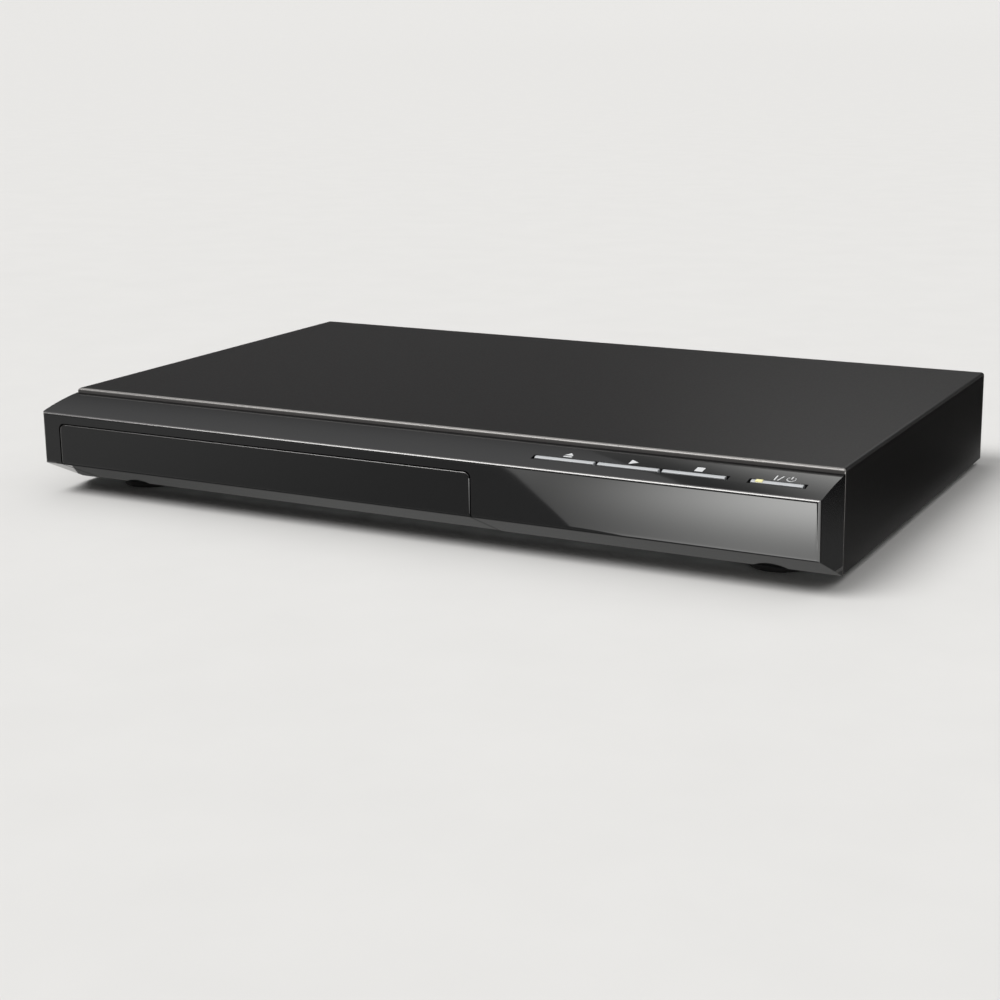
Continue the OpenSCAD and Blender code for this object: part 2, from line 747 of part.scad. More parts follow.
module motor_shelf()
    difference() {
        half = motor_r + 3;
        y1 = cam_y - cam_t / 2 - slide_gap;
        union() {
            span([motor_x - half, motor_x + half], [motor_y - half + 1, y1], [shelf_z, shelf_z + shelf_t]);
            for (x = [motor_x - half, motor_x + half - 1.5])
                span([x, x + 1.5], [motor_y - half + 1, y1], [frame_floor - eps, shelf_z + eps]);
        }
        post(motor_x, motor_y, [shelf_z - 1, shelf_z + 2], 4);
        for (s = [-7, 7])
            post(motor_x, motor_y + s, [shelf_z - 1, shelf_z + 2], 1.1);
    }

module cam_guides() {
    front = cam_y - cam_t / 2 - slide_gap;
    rear = cam_y + cam_t / 2 + slide_gap;
    span([cam_x0 - 5, cam_x1 + 3], [front - 1.6, front], [frame_floor - eps, lz + 7]);
    for (x = [[cam_x0 - 5, cam_x0 + 11], [cam_x1 - 9, cam_x1 + 3]])
        span(x, [rear, rear + 1.4], [frame_floor - eps, lz + 3.6]);
}

module gear_posts()
    for (p = [[tray_gear_x, tray_gear_y, tray_z0 + 0.3],
        [pulley_gear_x, tray_gear_y, pulley_z + pulley_h + 0.4]]) {
        post(p[0], p[1], [frame_floor - eps, gear_z - slide_gap], 3.2);
        post(p[0], p[1], [frame_floor, p[2]], axle_r);
    }

module hinge_brackets()
    for (x = [frame_x0 - eps, frame_x1 - bracket_w + eps])
        span([x, x + bracket_w], [hinge_y - 6, hinge_y + 6], [frame_floor - eps, ledge_top]);

module bridge_ears()
    difference() {
        for (y = bridge_y)
            for (x = ear_x)
                union() {
                    post(x, y, [wall_top - 9, wall_top], ear_r);
                    span([min(x, x + ear_r * sign(lx - x)), max(x, x + ear_r * sign(lx - x))],
                        [y - 1, y + 1], [wall_top - 9, wall_top]);
                }
        for (y = bridge_y)
            for (x = ear_x)
                post(x, y, [wall_top - 8, wall_top + 1], screw_r + hole_gap);
    }

module loader_frame()
    color("#55585a")
    difference() {
        union() {
            frame_walls();
            frame_floor_plates();
            motor_shelf();
            cam_guides();
            gear_posts();
            hinge_brackets();
            bridge_ears();
        }
        // Seats of the hinge's bushes
        bar_x([frame_x0 + 0.2, frame_x1 - 0.2], hinge_y, hinge_z, bush_r + run_gap);
    }

// Rack of straight teeth along Y that point to `side`, with a gap at y = phase
module rack_teeth(x, y, z, phase, side) {
    half = tooth_fill * tooth_pitch / 2;
    tip = half - tooth_up * tan(pressure_a);
    foot = half + rack_root * tan(pressure_a);
    first = ceil((y[0] - phase) / tooth_pitch);
    last = floor((y[1] - phase) / tooth_pitch) - 1;
    translate([0, 0, z[0]]) linear_extrude(z[1] - z[0])
    for (i = [first:last])
        let (c = phase + (i + 0.5) * tooth_pitch)
        polygon([[x - side * rack_root, c - foot], [x + side * tooth_up, c - tip],
            [x + side * tooth_up, c + tip], [x - side * rack_root, c + foot]]);
}

// Involute angle at radius r over the base radius rb, and half the angle that a tooth fills at r
function inv_a(rb, r) = let (q = max(r / rb, 1)) sqrt(q * q - 1) * 180 / PI - acos(1 / q);
function tooth_half(n, r) =
    let (rp = gear_m * n / 2, rb = rp * cos(pressure_a)) 180 * tooth_fill / n + inv_a(rb, rp) - inv_a(rb, r);

// Outline of a gear of n teeth with a tooth centred on angle `turn`: five points up each flank
function gear_outline(n, turn) =
    let (rp = gear_m * n / 2)
    let (radii = [rp - tooth_down, rp - tooth_down / 2, rp, rp + tooth_up / 2, rp + tooth_up])
    [for (k = [0:n - 1]) each [for (j = [-4.5:4.5])
        let (r = radii[4.5 - abs(j)], a = turn + 360 * k / n + sign(j) * tooth_half(n, r))
        [r * cos(a), r * sin(a)]]];

module gear(x, y, z, n, turn)
    translate([x, y, z[0]]) linear_extrude(z[1] - z[0]) polygon(gear_outline(n, turn));

module disc_tray()
    color("#202123")
    difference() {
        union() {
            // Top plate, skirts and front wall
            span([tray_x0, tray_x1], [tray_y0, tray_y1], [tray_top - 1.5, tray_top]);
            for (x = [tray_x0, tray_x1 - tray_wall])
                span([x, x + tray_wall], [tray_y0, tray_y1], [tray_z0, tray_top]);
            span([tray_x0, tray_x1], [tray_y0, tray_y0 + tray_wall], [tray_z0, tray_top]);
            // Bowl of the recess
            intersection() {
                post(lx, ly, [tray_under, tray_top - eps], disc_r + disc_gap + 1.5);
                span([tray_x0, tray_x1], [tray_y0, tray_y1], [tray_under, tray_top]);
            }
            // Side rails of the slot
            for (x = [lx - tray_slot / 2 - tray_wall, lx + tray_slot / 2])
                span([x, x + tray_wall], [ly, tray_y1], [tray_under, tray_top - eps]);
            // Rack rib
            span([rack_x + rack_back, rack_x + rack_w], [rack_y0, tray_y1], [rack_z0, tray_top - 1]);
            span([rack_x + 0.9, rack_x + rack_back + eps], [rack_y0, tray_y1], [rack_z0, tray_z0]);
            rack_teeth(rack_x, [rack_y0, tray_y1], [rack_z0, tray_z0], tray_gear_y, -1);
        }
        post(lx, ly, [recess_z, tray_top + 1], disc_r + disc_gap);
        post(lx, ly, [small_z, tray_top + 1], small_disc_r);
        post(lx, ly, [tray_under - 1, tray_top + 1], tray_slot / 2);
        span([lx - tray_slot / 2, lx + tray_slot / 2], [ly, tray_y1 + 1], [tray_under - 1, tray_top + 1]);
    }

module clamp_bridge()
    color("#8f9294")
    difference() {
        union() {
            span([frame_x0 - frame_wall - 2 * ear_r, frame_x1 + frame_wall + 2 * ear_r], [ly - 21, ly + 21],
                [wall_top, bridge_top]);
            for (y = [ly - 21, ly + 20])
                span([frame_x0 + 4, frame_x1 - 4], [y, y + 1], [wall_top, bridge_top + 2]);
        }
        post(lx, ly, [wall_top - 1, bridge_top + 1], clamper_r + 0.5);
        for (y = bridge_y)
            for (x = ear_x)
                post(x, y, [wall_top - 1, bridge_top + 1], screw_r + hole_gap);
    }

// The clamper hangs in the bridge by its flange; its pad ends just above the disc's top
module clamper()
    color("#ececea")
    translate([lx, ly, 0])
    rotate_extrude()
    polygon([[0, pad_z + 1.3], [clamper_r - 2, pad_z + 1.3], [clamper_r - 2, pad_z], [clamper_r, pad_z],
        [clamper_r, clamper_flange_z], [clamper_flange_r, clamper_flange_z],
        [clamper_flange_r, clamper_flange_z + 1.2], [clamper_r - 1.9, clamper_flange_z + 1.2],
        [clamper_r - 1.9, pad_z + 2.5], [0, pad_z + 2.5]]);

module clamp_magnet()
    color("#5a5c60")
    post(lx, ly, [pad_z + 2.55, clamper_flange_z + 0.9], clamper_r - 2.1);

module loading_motor()
    color("#b9bcbf") {
        post(motor_x, motor_y, [lz + 0.3, motor_top], motor_r);
        post(motor_x, motor_y, [motor_top - eps, motor_top + 0.9], 3.2);
        post(motor_x, motor_y, [motor_top, pulley_z + pulley_h + 0.2], 1);
    }

// Grooved pulley round a bore, with flanges 1 mm proud of the belt's outside
module pulley(x, y, belt_r, bore_r) {
    groove = belt_r - belt_t / 2 - belt_gap;
    rim = belt_r + belt_t / 2 + 0.2;
    low = pulley_z + (pulley_h - belt_h) / 2 - belt_gap;
    high = low + belt_h + 2 * belt_gap;
    translate([x, y, 0])
    rotate_extrude()
    polygon([[bore_r, pulley_z], [rim, pulley_z], [rim, low], [groove, low], [groove, high], [rim, high],
        [rim, pulley_z + pulley_h], [bore_r, pulley_z + pulley_h]]);
}

module motor_pulley()
    color("#e4e2da")
    pulley(motor_x, motor_y, belt_small_r, 1 + run_gap);

// Outline of a belt edge round both pulleys, at distance d from its middle line
function belt_outline(d) =
    let (dx = pulley_gear_x - motor_x, dy = tray_gear_y - motor_y)
    let (lean = atan2(dy, dx), open = acos((belt_small_r - belt_big_r) / norm([dx, dy])))
    concat(arc(motor_x, motor_y, belt_small_r + d, lean + open, lean + 360 - open, 20),
        arc(pulley_gear_x, tray_gear_y, belt_big_r + d, lean - open, lean + open, 36));

module drive_belt()
    color("#2c2c2c")
    translate([0, 0, pulley_z + (pulley_h - belt_h) / 2])
    linear_extrude(belt_h)
    difference() {
        polygon(belt_outline(belt_t / 2));
        polygon(belt_outline(-belt_t / 2));
    }

module pulley_gear()
    color("#e9e7df") {
        difference() {
            union() {
                gear(pulley_gear_x, tray_gear_y, [gear_z, gear_z + gear_t + 1.8], pulley_pinion_n,
                    180 / pulley_pinion_n);
                post(pulley_gear_x, tray_gear_y, [gear_z, pulley_z + eps], 3.4);
            }
            post(pulley_gear_x, tray_gear_y, [gear_z - 1, pulley_z + 1], axle_r + run_gap);
        }
        pulley(pulley_gear_x, tray_gear_y, belt_big_r, axle_r + run_gap);
    }

module tray_gear()
    color("#e9e7df")
    difference() {
        union() {
            gear(tray_gear_x, tray_gear_y, [gear_z, gear_z + gear_t], tray_wheel_n, 0);
            gear(tray_gear_x, tray_gear_y, [gear_z + gear_t - eps, tray_z0], tray_pinion_n, 0);
        }
        post(tray_gear_x, tray_gear_y, [gear_z - 1, tray_z0 + 1], axle_r + run_gap);
    }

// Slanted slot from the pin's raised place to its dropped place
module cam_slot() {
    a = [pin_x, pin_z];
    b = [pin_x + cam_travel, pin_z - pin_fall];
    r = pin_r + cam_gap;
    n = [pin_fall, cam_travel] * r / norm([pin_fall, cam_travel]);
    front_prism([a + n, b + n, b - n, a - n], [cam_y - cam_t, cam_y + cam_t]);
    for (p = [a, b])
        bar_y(p[0], [cam_y - cam_t, cam_y + cam_t], p[1], r);
}

module cam_slider()
    color("#d9d7cf")
    difference() {
        span([cam_x0, cam_x1], [cam_y - cam_t / 2, cam_y + cam_t / 2],
            [frame_floor + slide_gap, ledge_top - 0.2]);
        cam_slot();
        span([cam_x0 + 6, pin_x - 8], [cam_y - cam_t, cam_y + cam_t], [frame_floor + 5, ledge_top - 4]);
    }

module limit_switch()
    color("#1f1f20") {
        span([frame_x0 + 3, frame_x0 + 9], [cam_y - 11, cam_y - 5], [frame_floor, frame_floor + 5]);
        span([frame_x0 + 5.5, frame_x0 + 6.5], [cam_y - 9, cam_y - 8],
            [frame_floor + 5 - eps, frame_floor + 6.5]);
    }

module traverse_deck()
    color("#a7a9ab") {
        difference() {
            span([deck_x0, deck_x1], [deck_y0, hinge_y + 2], [deck_z, deck_top]);
            span([lx - rod_x + 1, lx + rod_x - 1], [window_y0, rod_y1 - 10], [deck_z - 1, deck_top + 1]);
            post(lx, ly, [deck_z - 1, deck_top + 1], 5);
            post(sled_motor_x, sled_motor_y, [deck_z - 1, deck_top + 1], 1.8);
        }
        // Lugs and trunnions of the hinge
        for (x = [[deck_x0, deck_x0 + 4], [deck_x1 - 4, deck_x1]])
            span(x, [hinge_y - 4, hinge_y + 4], [hinge_z - trunnion_r, deck_top]);
        bar_x([frame_x0 + 1, deck_x0 + 2], hinge_y, hinge_z, trunnion_r);
        bar_x([deck_x1 - 2, frame_x1 - 1], hinge_y, hinge_z, trunnion_r);
        // Pin that rides in the cam slider
        bar_y(pin_x, [cam_y - cam_t / 2 + 0.2, deck_y0 + 1], pin_z, pin_r);
        span([pin_x - 3, pin_x + 3], [deck_y0, deck_y0 + 2], [pin_z - pin_r, deck_top]);
        // Holders of the guide rods
        for (x = [lx - rod_x, lx + rod_x])
            for (y = [[rod_y0 - 2, rod_y0 + 2], [rod_y1 - 2, rod_y1 + 2]])
                difference() {
                    span([x - 4, x + 4], y, [rod_z - 2.2, deck_z + eps]);
                    bar_y(x, [rod_y0 - 1, rod_y1 + 1], rod_z, rod_r + run_gap);
                }
        post(sled_x, sled_y, [deck_top - eps, sled_wheel_z + sled_wheel_t + 0.2], sled_axle_r);
    }

module damper_bushes()
    color("#343434")
    for (x = [frame_x0 + 0.3, frame_x1 - 0.3 - bush_w])
        difference() {
            bar_x([x, x + bush_w], hinge_y, hinge_z, bush_r);
            bar_x([x - 1, x + bush_w + 1], hinge_y, hinge_z, trunnion_r + run_gap);
        }

module spindle_motor()
    color("#c4c6c8") {
        post(lx, ly, [deck_z - 4.4, deck_z], motor_r);
        post(lx, ly, [deck_z - eps, deck_top + 0.4], 4.5);
        post(lx, ly, [deck_top, disc_z - 0.7], spindle_shaft_r);
    }

module turntable()
    color("#2a2b2d")
    translate([lx, ly, 0])
    rotate_extrude()
    let (bore = spindle_shaft_r + run_gap)
    polygon([[bore, deck_top + 0.7], [motor_r + 0.5, deck_top + 0.7], [motor_r + 0.5, deck_top + 4.9],
        [8, deck_top + 4.9], [8, disc_z - 2], [turntable_r, disc_z - 2], [turntable_r, disc_z],
        [hub_r, disc_z], [hub_r, disc_z + 1], [hub_r - 1.2, disc_z + 1.9], [0, disc_z + 1.9],
        [0, disc_z - 0.4], [bore, disc_z - 0.4]]);

module guide_rods()
    color("#d6d8da")
    for (x = [lx - rod_x, lx + rod_x])
        bar_y(x, [rod_y0 - 0.9, rod_y1 + 0.9], rod_z, rod_r);

// Optical pickup: a block in the deck's window, arms on the rods and a rack beside the sled gear
module pickup_body()
    color("#77797c") {
        y0 = lens_y - 10;
        y1 = lens_y + 13;
        difference() {
            union() {
                span([lx - pickup_w, lx + pickup_w], [y0, y1], [pickup_z0, pickup_top]);
                span([lx - rod_x - 4, lx + rod_x + 4], [y0, y1], [pickup_z0, deck_z - 0.4]);
            }
            for (x = [lx - rod_x, lx + rod_x])
                bar_y(x, [y0 - 1, y1 + 1], rod_z, rod_r + run_gap);
        }
        // Magnets each side of the lens holder
        for (x = [lx - holder_w - yoke_gap - 2.6, lx + holder_w + yoke_gap])
            span([x, x + 2.6], [lens_y - 6, lens_y + 6], [pickup_top - eps, holder_z1 - 0.6]);
        span([lx + pickup_w - 3, sled_rack_x - 1], [y0, y1], [deck_top, sled_z + sled_pinion_t]);
        span([lx + pickup_w - 1, sled_rack_x - 0.9], sled_rack_y, [sled_z, sled_z + sled_pinion_t]);
        rack_teeth(sled_rack_x, sled_rack_y, [sled_z, sled_z + sled_pinion_t], sled_y, 1);
    }

module lens_holder()
    color("#232325")
    difference() {
        span([lx - holder_w, lx + holder_w], [lens_y - holder_d, lens_y + holder_d], [holder_z0, holder_z1]);
        post(lx, lens_y, [holder_z1 - 1.4, holder_z1 + 1], lens_r + 0.1);
        post(lx, lens_y, [holder_z0 - 1, holder_z1], lens_r - 0.8);
    }

module objective_lens()
    color("#8fb4d8")
    translate([lx, lens_y, holder_z1 - 1.4])
    rotate_extrude()
    polygon(concat([[0, 0], [lens_r, 0], [lens_r, 1.2]],
        [for (i = [1:6]) [lens_r * cos(15 * i), 1.2 + 1.1 * sin(15 * i)]]));

module sled_motor()
    color("#b9bcbf") {
        post(sled_motor_x, sled_motor_y, [sled_motor_z0, deck_z], sled_motor_body_r);
        post(sled_motor_x, sled_motor_y, [deck_z - eps, sled_wheel_z + sled_wheel_t + 0.2], small_shaft_r);
    }

module sled_motor_gear()
    color("#e9e7df")
    difference() {
        gear(sled_motor_x, sled_motor_y, [sled_wheel_z, sled_wheel_z + sled_wheel_t], sled_motor_n,
            sled_turn + 180 + 180 / sled_motor_n);
        post(sled_motor_x, sled_motor_y, [sled_wheel_z - 1, sled_wheel_z + sled_wheel_t + 1],
            small_shaft_r + run_gap);
    }

module sled_gear()
    color("#e9e7df")
    difference() {
        union() {
            gear(sled_x, sled_y, [sled_z, sled_z + sled_pinion_t + eps], sled_pinion_n, 0);
            post(sled_x, sled_y, [sled_z + sled_pinion_t, sled_wheel_z + eps], sled_pinion_r - 1);
            gear(sled_x, sled_y, [sled_wheel_z, sled_wheel_z + sled_wheel_t], sled_wheel_n, sled_turn);
        }
        post(sled_x, sled_y, [sled_z - 1, sled_wheel_z + sled_wheel_t + 1], sled_axle_r + run_gap);
    }

module loader_screws()
    color("#c8cacc") {
        for (h = loader_holes)
            screw_up(h[0], h[1], frame_floor, frame_floor - foot_h);
        for (y = bridge_y)
            for (x = ear_x)
                screw_up(x, y, bridge_top, 7);
        for (s = [-7, 7])
            post(motor_x, motor_y + s, [shelf_z + shelf_t, shelf_z + shelf_t + 0.8], 1.9);
    }

module loader_board()
    color("#2f6b3f") {
        span([loader_board_x0, loader_board_x1], [loader_board_y0, loader_board_y1], [board_z, board_top]);
        for (y = [loader_board_y0 + 4, loader_board_y1 - 4])
            for (x = [loader_board_x0 + 4, loader_board_x1 - 4])
                post(x, y, [pan_top, board_z + eps], 2.5);
    }

module main_board()
    color("#24603a") {
        difference() {
            span([main_x0, main_x1], [main_y0, main_y1], [board_z, board_top]);
            for (h = board_holes)
                post(h[0], h[1], [board_z - 1, board_top + 1], screw_r + hole_gap);
        }
        for (h = [for (i = [0:3]) board_holes[i]])
            standoff(h);
    }

// Round standoff between the chassis and a board
module standoff(h)
    difference() {
        post(h[0], h[1], [pan_top, board_z + eps], standoff_r);
        post(h[0], h[1], [pan_top - 1, board_top], screw_r + hole_gap);
    }

module main_chips()
    color("#1a1a1b") {
        span([main_x0 + 30, main_x0 + 52], [main_y0 + 34, main_y0 + 56], [board_top, board_top + 1.6]);
        span([main_x0 + 60, main_x0 + 71], [main_y0 + 34, main_y0 + 54], [board_top, board_top + 1.2]);
        span([main_x0 + 14, main_x0 + 22], [main_y0 + 40, main_y0 + 52], [board_top, board_top + 1.4]);
        span([main_x0 + 34, main_x0 + 46], [main_y0 + 68, main_y0 + 78], [board_top, board_top + 1.4]);
        span([main_x0 + 12, main_x0 + 24], [main_y0 + 18, main_y0 + 25], [board_top, board_top + 1.8]);
    }

// Section of the digital socket's shell, grown by g: wide at the top and narrower at the bottom
function av_outline(g) =
    let (wide = av_half_w + g, narrow = av_half_w + g - 1.9, high = av_half_h + g, step_z = av_z - 0.4)
    [[av_x - wide, step_z], [av_x - wide, av_z + high], [av_x + wide, av_z + high],
    [av_x + wide, step_z], [av_x + narrow, av_z - high], [av_x - narrow, av_z - high]];

module digital_av_socket()
    color("#c9cbcd") {
        difference() {
            front_prism(av_outline(0), [y_rear_in - jack_d, y_rear + 0.5]);
            front_prism(av_outline(-0.5), [y_rear_in - 8, y_rear + 1]);
        }
        span([av_x - 5.6, av_x + 5.6], [y_rear_in - 8.5, y_rear - 1], [av_z - 0.2, av_z + 1.2]);
        for (x = [av_x - 6.5, av_x + 5.5])
            span([x, x + 1], [y_rear_in - jack_d, y_rear_in - jack_d + 3], [board_top, av_z]);
    }

// Body of one or more phono jacks with a drilled insulator in each shell
module phono_body(spots, x, z)
    difference() {
        union() {
            span(x, [y_rear_in - jack_d, y_rear_in - 0.1], z);
            for (s = spots)
                bar_y(s[0], [y_rear_in - 1, y_jacks - 0.8], s[1], phono_bore_r);
        }
        for (s = spots)
            bar_y(s[0], [y_jacks - 12, y_jacks + 1], s[1], phono_hole_r);
    }

module av_jack_block()
    color("#19191a")
    difference() {
        phono_body([for (i = [0:5]) phono_spots[i]], [phono_cols[0] - 7, phono_cols[2] + 7],
            [board_top, phono_rows[1] + 6]);
        for (x = jack_screw_x)
            bar_y(x, [y_rear_in - 7, y_rear_in + 1], jack_screw_z, screw_r + hole_gap);
    }

module coax_jack()
    color("#19191a")
    phono_body([phono_spots[6]], [coax_x - 5.8, coax_x + 5.8], [board_top, phono_rows[0] + 6]);

module phono_shells()
    color("#d3d5d7")
    for (s = phono_spots)
        difference() {
            union() {
                bar_y(s[0], [collar_end, y_jacks], s[1], phono_r);
                bar_y(s[0], [y_rear_in - 0.1, collar_end + eps], s[1], phono_neck_r);
            }
            bar_y(s[0], [y_rear_in - 1, y_jacks + 1], s[1], phono_bore_r);
        }

module phono_collars()
    color("#c23a30")
    for (s = phono_spots)
        difference() {
            bar_y(s[0], [y_rear_in - 0.1, collar_end], s[1], collar_r);
            bar_y(s[0], [y_rear_in - 1, y_rear + 2], s[1], phono_neck_r + run_gap);
        }

module power_board()
    color("#8a7a4a") {
        difference() {
            span([power_b_x0, power_x1], [power_y0, power_y1], [board_z, board_top]);
            for (h = board_holes)
                post(h[0], h[1], [board_z - 1, board_top + 1], screw_r + hole_gap);
        }
        for (h = [for (i = [4:7]) board_holes[i]])
            standoff(h);
    }

module transformer()
    color("#b08a3c") {
        x = transformer_at[0];
        y = transformer_at[1];
        cheek = transformer_d / 4;
        for (c = [y, y + transformer_d - cheek])
            span([x, x + transformer_w], [c, c + cheek], [board_top, board_top + transformer_h]);
        span([x + 4, x + transformer_w - 4], [y + cheek - eps, y + transformer_d - cheek + eps],
            [board_top + 2, board_top + transformer_h - 2]);
    }

// A can with a rolled groove near its foot
module capacitor(x, y, r, h)
    translate([x, y, board_top])
    rotate_extrude()
    polygon([[0, 0], [r, 0], [r, 1.6], [r - 0.4, 2.2], [r - 0.4, 2.6], [r, 3], [r, h - 0.6],
        [r - 0.6, h], [0, h]]);

module capacitors()
    color("#20242c") {
        for (c = power_cans)
            capacitor(power_b_x0 + c[0], power_y0 + c[1], c[2], c[3]);
        for (c = main_cans)
            capacitor(main_x0 + c[0], main_y0 + c[1], c[2], c[3]);
    }

module heat_sink()
    color("#b4b6b8") {
        x = sink_at[0];
        y = sink_at[1];
        fin_step = (sink_w - fin_t) / 5;
        span([x, x + sink_w], [y, y + 2], [board_top, board_top + sink_h]);
        for (i = [0:5])
            span([x + i * fin_step, x + i * fin_step + fin_t], [y + 2 - eps, y + 8],
                [board_top + 3, board_top + sink_h]);
    }

// Two-pole mains inlet with a figure-of-eight cavity
module power_inlet()
    color("#161617")
    difference() {
        span([inlet_x - inlet_w / 2, inlet_x + inlet_w / 2], [y_rear_in - 16, inlet_face],
            [inlet_z - inlet_h / 2, inlet_z + inlet_h / 2]);
        for (s = pole_x)
            bar_y(s, [inlet_face - inlet_depth, y_rear + 2], inlet_z, 4.6);
        span(pole_x, [inlet_face - inlet_depth, y_rear + 2], [inlet_z - 3.6, inlet_z + 3.6]);
        for (s = pole_x)
            bar_y(s, [y_rear - inlet_depth - 3, y_rear - 1], inlet_z, pole_r + run_gap);
    }

module inlet_pins()
    color("#d8c48a")
    for (s = pole_x)
        bar_y(s, [y_rear - inlet_depth - 2.9, y_rear - 2.5], inlet_z, pole_r);

// Sockets that the flat cables and the harness plug into
module cable_connectors()
    color("#e8e4d4") {
        flat_connector(loader_cable_x, loader_board_y1 - 1 - connector_d, board_top);
        flat_connector(loader_cable_x, main_y0 + 1, board_top);
        flat_connector(key_cable_x, key_board_y1 - 1 - connector_d, key_board_top);
        flat_connector(key_cable_x, main_y0 + 1, board_top);
        for (x = [main_x1 - 5, power_b_x0 + 1])
            span([x, x + connector_d], harness_y, [board_top, board_top + harness_plug_h]);
    }

module flat_connector(x, y, z)
    span([x - 1, x + cable_w + 1], [y, y + connector_d], [z, z + connector_h]);

// A flat cable drawn as a band of (y, z) points
function band(path) = concat(path, [for (i = [len(path) - 1:-1:0]) path[i] + [0, cable_t]]);

module key_flat_cable()
    color("#dcdcd6") {
        z0 = key_board_top + cable_rise;
        z1 = board_top + cable_rise;
        low = pan_top + 3;
        side_prism(band([[key_board_y1 - 1, z0], [key_board_y1 + 5, z0], [key_board_y1 + 9, z0 - 3],
            [key_board_y1 + 18, low + 3], [key_board_y1 + 23, low], [main_y0 - 14, low], [main_y0 - 5, z1 - 1],
            [main_y0 - 2, z1], [main_y0 + 1, z1]]), [key_cable_x, key_cable_x + cable_w]);
    }

module loader_flat_cable()
    color("#dcdcd6") {
        z = board_top + cable_rise;
        y0 = loader_board_y1 - 1;
        y1 = main_y0 + 1;
        run = y1 - y0;
        side_prism(band([for (p = [[0, 0], [0.13, 0.2], [0.32, 1], [0.68, 1], [0.87, 0.2], [1, 0]])
            [y0 + p[0] * run, z + p[1] * cable_arch]]), [loader_cable_x, loader_cable_x + cable_w]);
    }

// Wires that arch from the power board to the main board
module power_harness()
    color("#b9b4a4") {
        x0 = main_x1 - 5 + connector_d / 2;
        x1 = power_b_x0 + 1 + connector_d / 2;
        mid = (x0 + x1) / 2;
        r = (x1 - x0) / 2;
        z = board_top + harness_plug_h;
        wire_r = 0.7;
        for (i = [0:3])
            translate([mid, harness_y[0] + 1 + 2 * i, z])
            rotate([90, 0, 0])
            rotate_extrude(angle = 180)
            translate([r, 0]) circle(r = wire_r, $fn = 16);
    }

module board_screws()
    color("#c8cacc") {
        for (h = board_holes)
            screw_up(h[0], h[1], board_top, board_lift);
        for (x = key_boss_x) {
            post(x, key_boss_y, [key_board_z - screw_head_h, key_board_z], screw_head_r);
            post(x, key_boss_y, [key_board_z - eps, key_board_top + 5], screw_r);
        }
    }

top_cover();
chassis_pan();
rear_panel();
front_panel();
tray_door();
feet();
cover_screws();
rear_screws();
key_eject();
key_play();
key_stop();
key_power();
led_lens();
key_board();
tact_switches();
ir_receiver();
power_led();
loader_frame();
disc_tray();
clamp_bridge();
clamper();
clamp_magnet();
loading_motor();
motor_pulley();
drive_belt();
pulley_gear();
tray_gear();
cam_slider();
limit_switch();
traverse_deck();
damper_bushes();
spindle_motor();
turntable();
guide_rods();
pickup_body();
lens_holder();
objective_lens();
sled_motor();
sled_motor_gear();
sled_gear();
loader_screws();
loader_board();
main_board();
main_chips();
digital_av_socket();
av_jack_block();
coax_jack();
phono_shells();
phono_collars();
power_board();
transformer();
capacitors();
heat_sink();
power_inlet();
inlet_pins();
cable_connectors();
key_flat_cable();
loader_flat_cable();
power_harness();
board_screws();
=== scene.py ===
"""Looks for a slim disc player with a motor-driven tray behind a flush door.

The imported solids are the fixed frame: metres, X to the right, Y to the back, Z up, with the origin in the
middle of the base. Each class below dresses one sub-assembly, and main() builds them in order.
"""

import logging
import math
from collections.abc import Iterable, Sequence
from dataclasses import dataclass, field
from enum import Enum
from typing import Any

import bmesh
import bpy
import numpy as np
from mathutils import Matrix, Vector


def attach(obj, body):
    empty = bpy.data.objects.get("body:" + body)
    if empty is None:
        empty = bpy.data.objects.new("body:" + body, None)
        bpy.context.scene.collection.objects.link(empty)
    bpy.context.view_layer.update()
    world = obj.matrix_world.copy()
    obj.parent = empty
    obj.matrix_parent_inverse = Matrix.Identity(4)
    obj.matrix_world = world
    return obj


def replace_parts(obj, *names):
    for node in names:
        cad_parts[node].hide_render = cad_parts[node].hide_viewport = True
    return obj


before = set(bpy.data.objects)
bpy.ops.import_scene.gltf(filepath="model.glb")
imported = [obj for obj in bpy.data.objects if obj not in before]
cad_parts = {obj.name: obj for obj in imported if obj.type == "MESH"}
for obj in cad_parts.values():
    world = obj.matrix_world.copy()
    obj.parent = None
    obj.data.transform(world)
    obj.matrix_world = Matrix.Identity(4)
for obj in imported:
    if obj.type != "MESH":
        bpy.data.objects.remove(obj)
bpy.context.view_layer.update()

LOG = logging.getLogger("disc_player")
MM = 0.001
WHITE = (1.0, 1.0, 1.0, 1.0)
CARD_WHITE = (1.0, 1.0, 0.98, 1.0)
MERGE = 1e-7  # points of a new surface that are nearer than this, in metres, are one
PACKED_MERGE = 1e-6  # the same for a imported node's points
SHARP_NEW = math.radians(40)  # a new surface keeps a hard edge from this turn on
SHARP_PACKED = math.radians(32)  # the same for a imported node
FLAT_PACKED = math.radians(0.6)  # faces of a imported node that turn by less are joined
Node = bpy.types.Node
Socket = bpy.types.NodeSocket


def linear(code: str) -> tuple[float, float, float, float]:
    """Turns an sRGB hex colour into linear light.

    Args:
        code: six hex digits after a hash sign.

    Returns:
        Red, green, blue and an alpha of 1.
    """
    parts = np.array([int(code[i:i + 2], 16) / 255 for i in (1, 3, 5)])
    light = np.where(parts > 0.04045, ((parts + 0.055) / 1.055) ** 2.4, parts / 12.92)
    return (*map(float, light), 1.0)


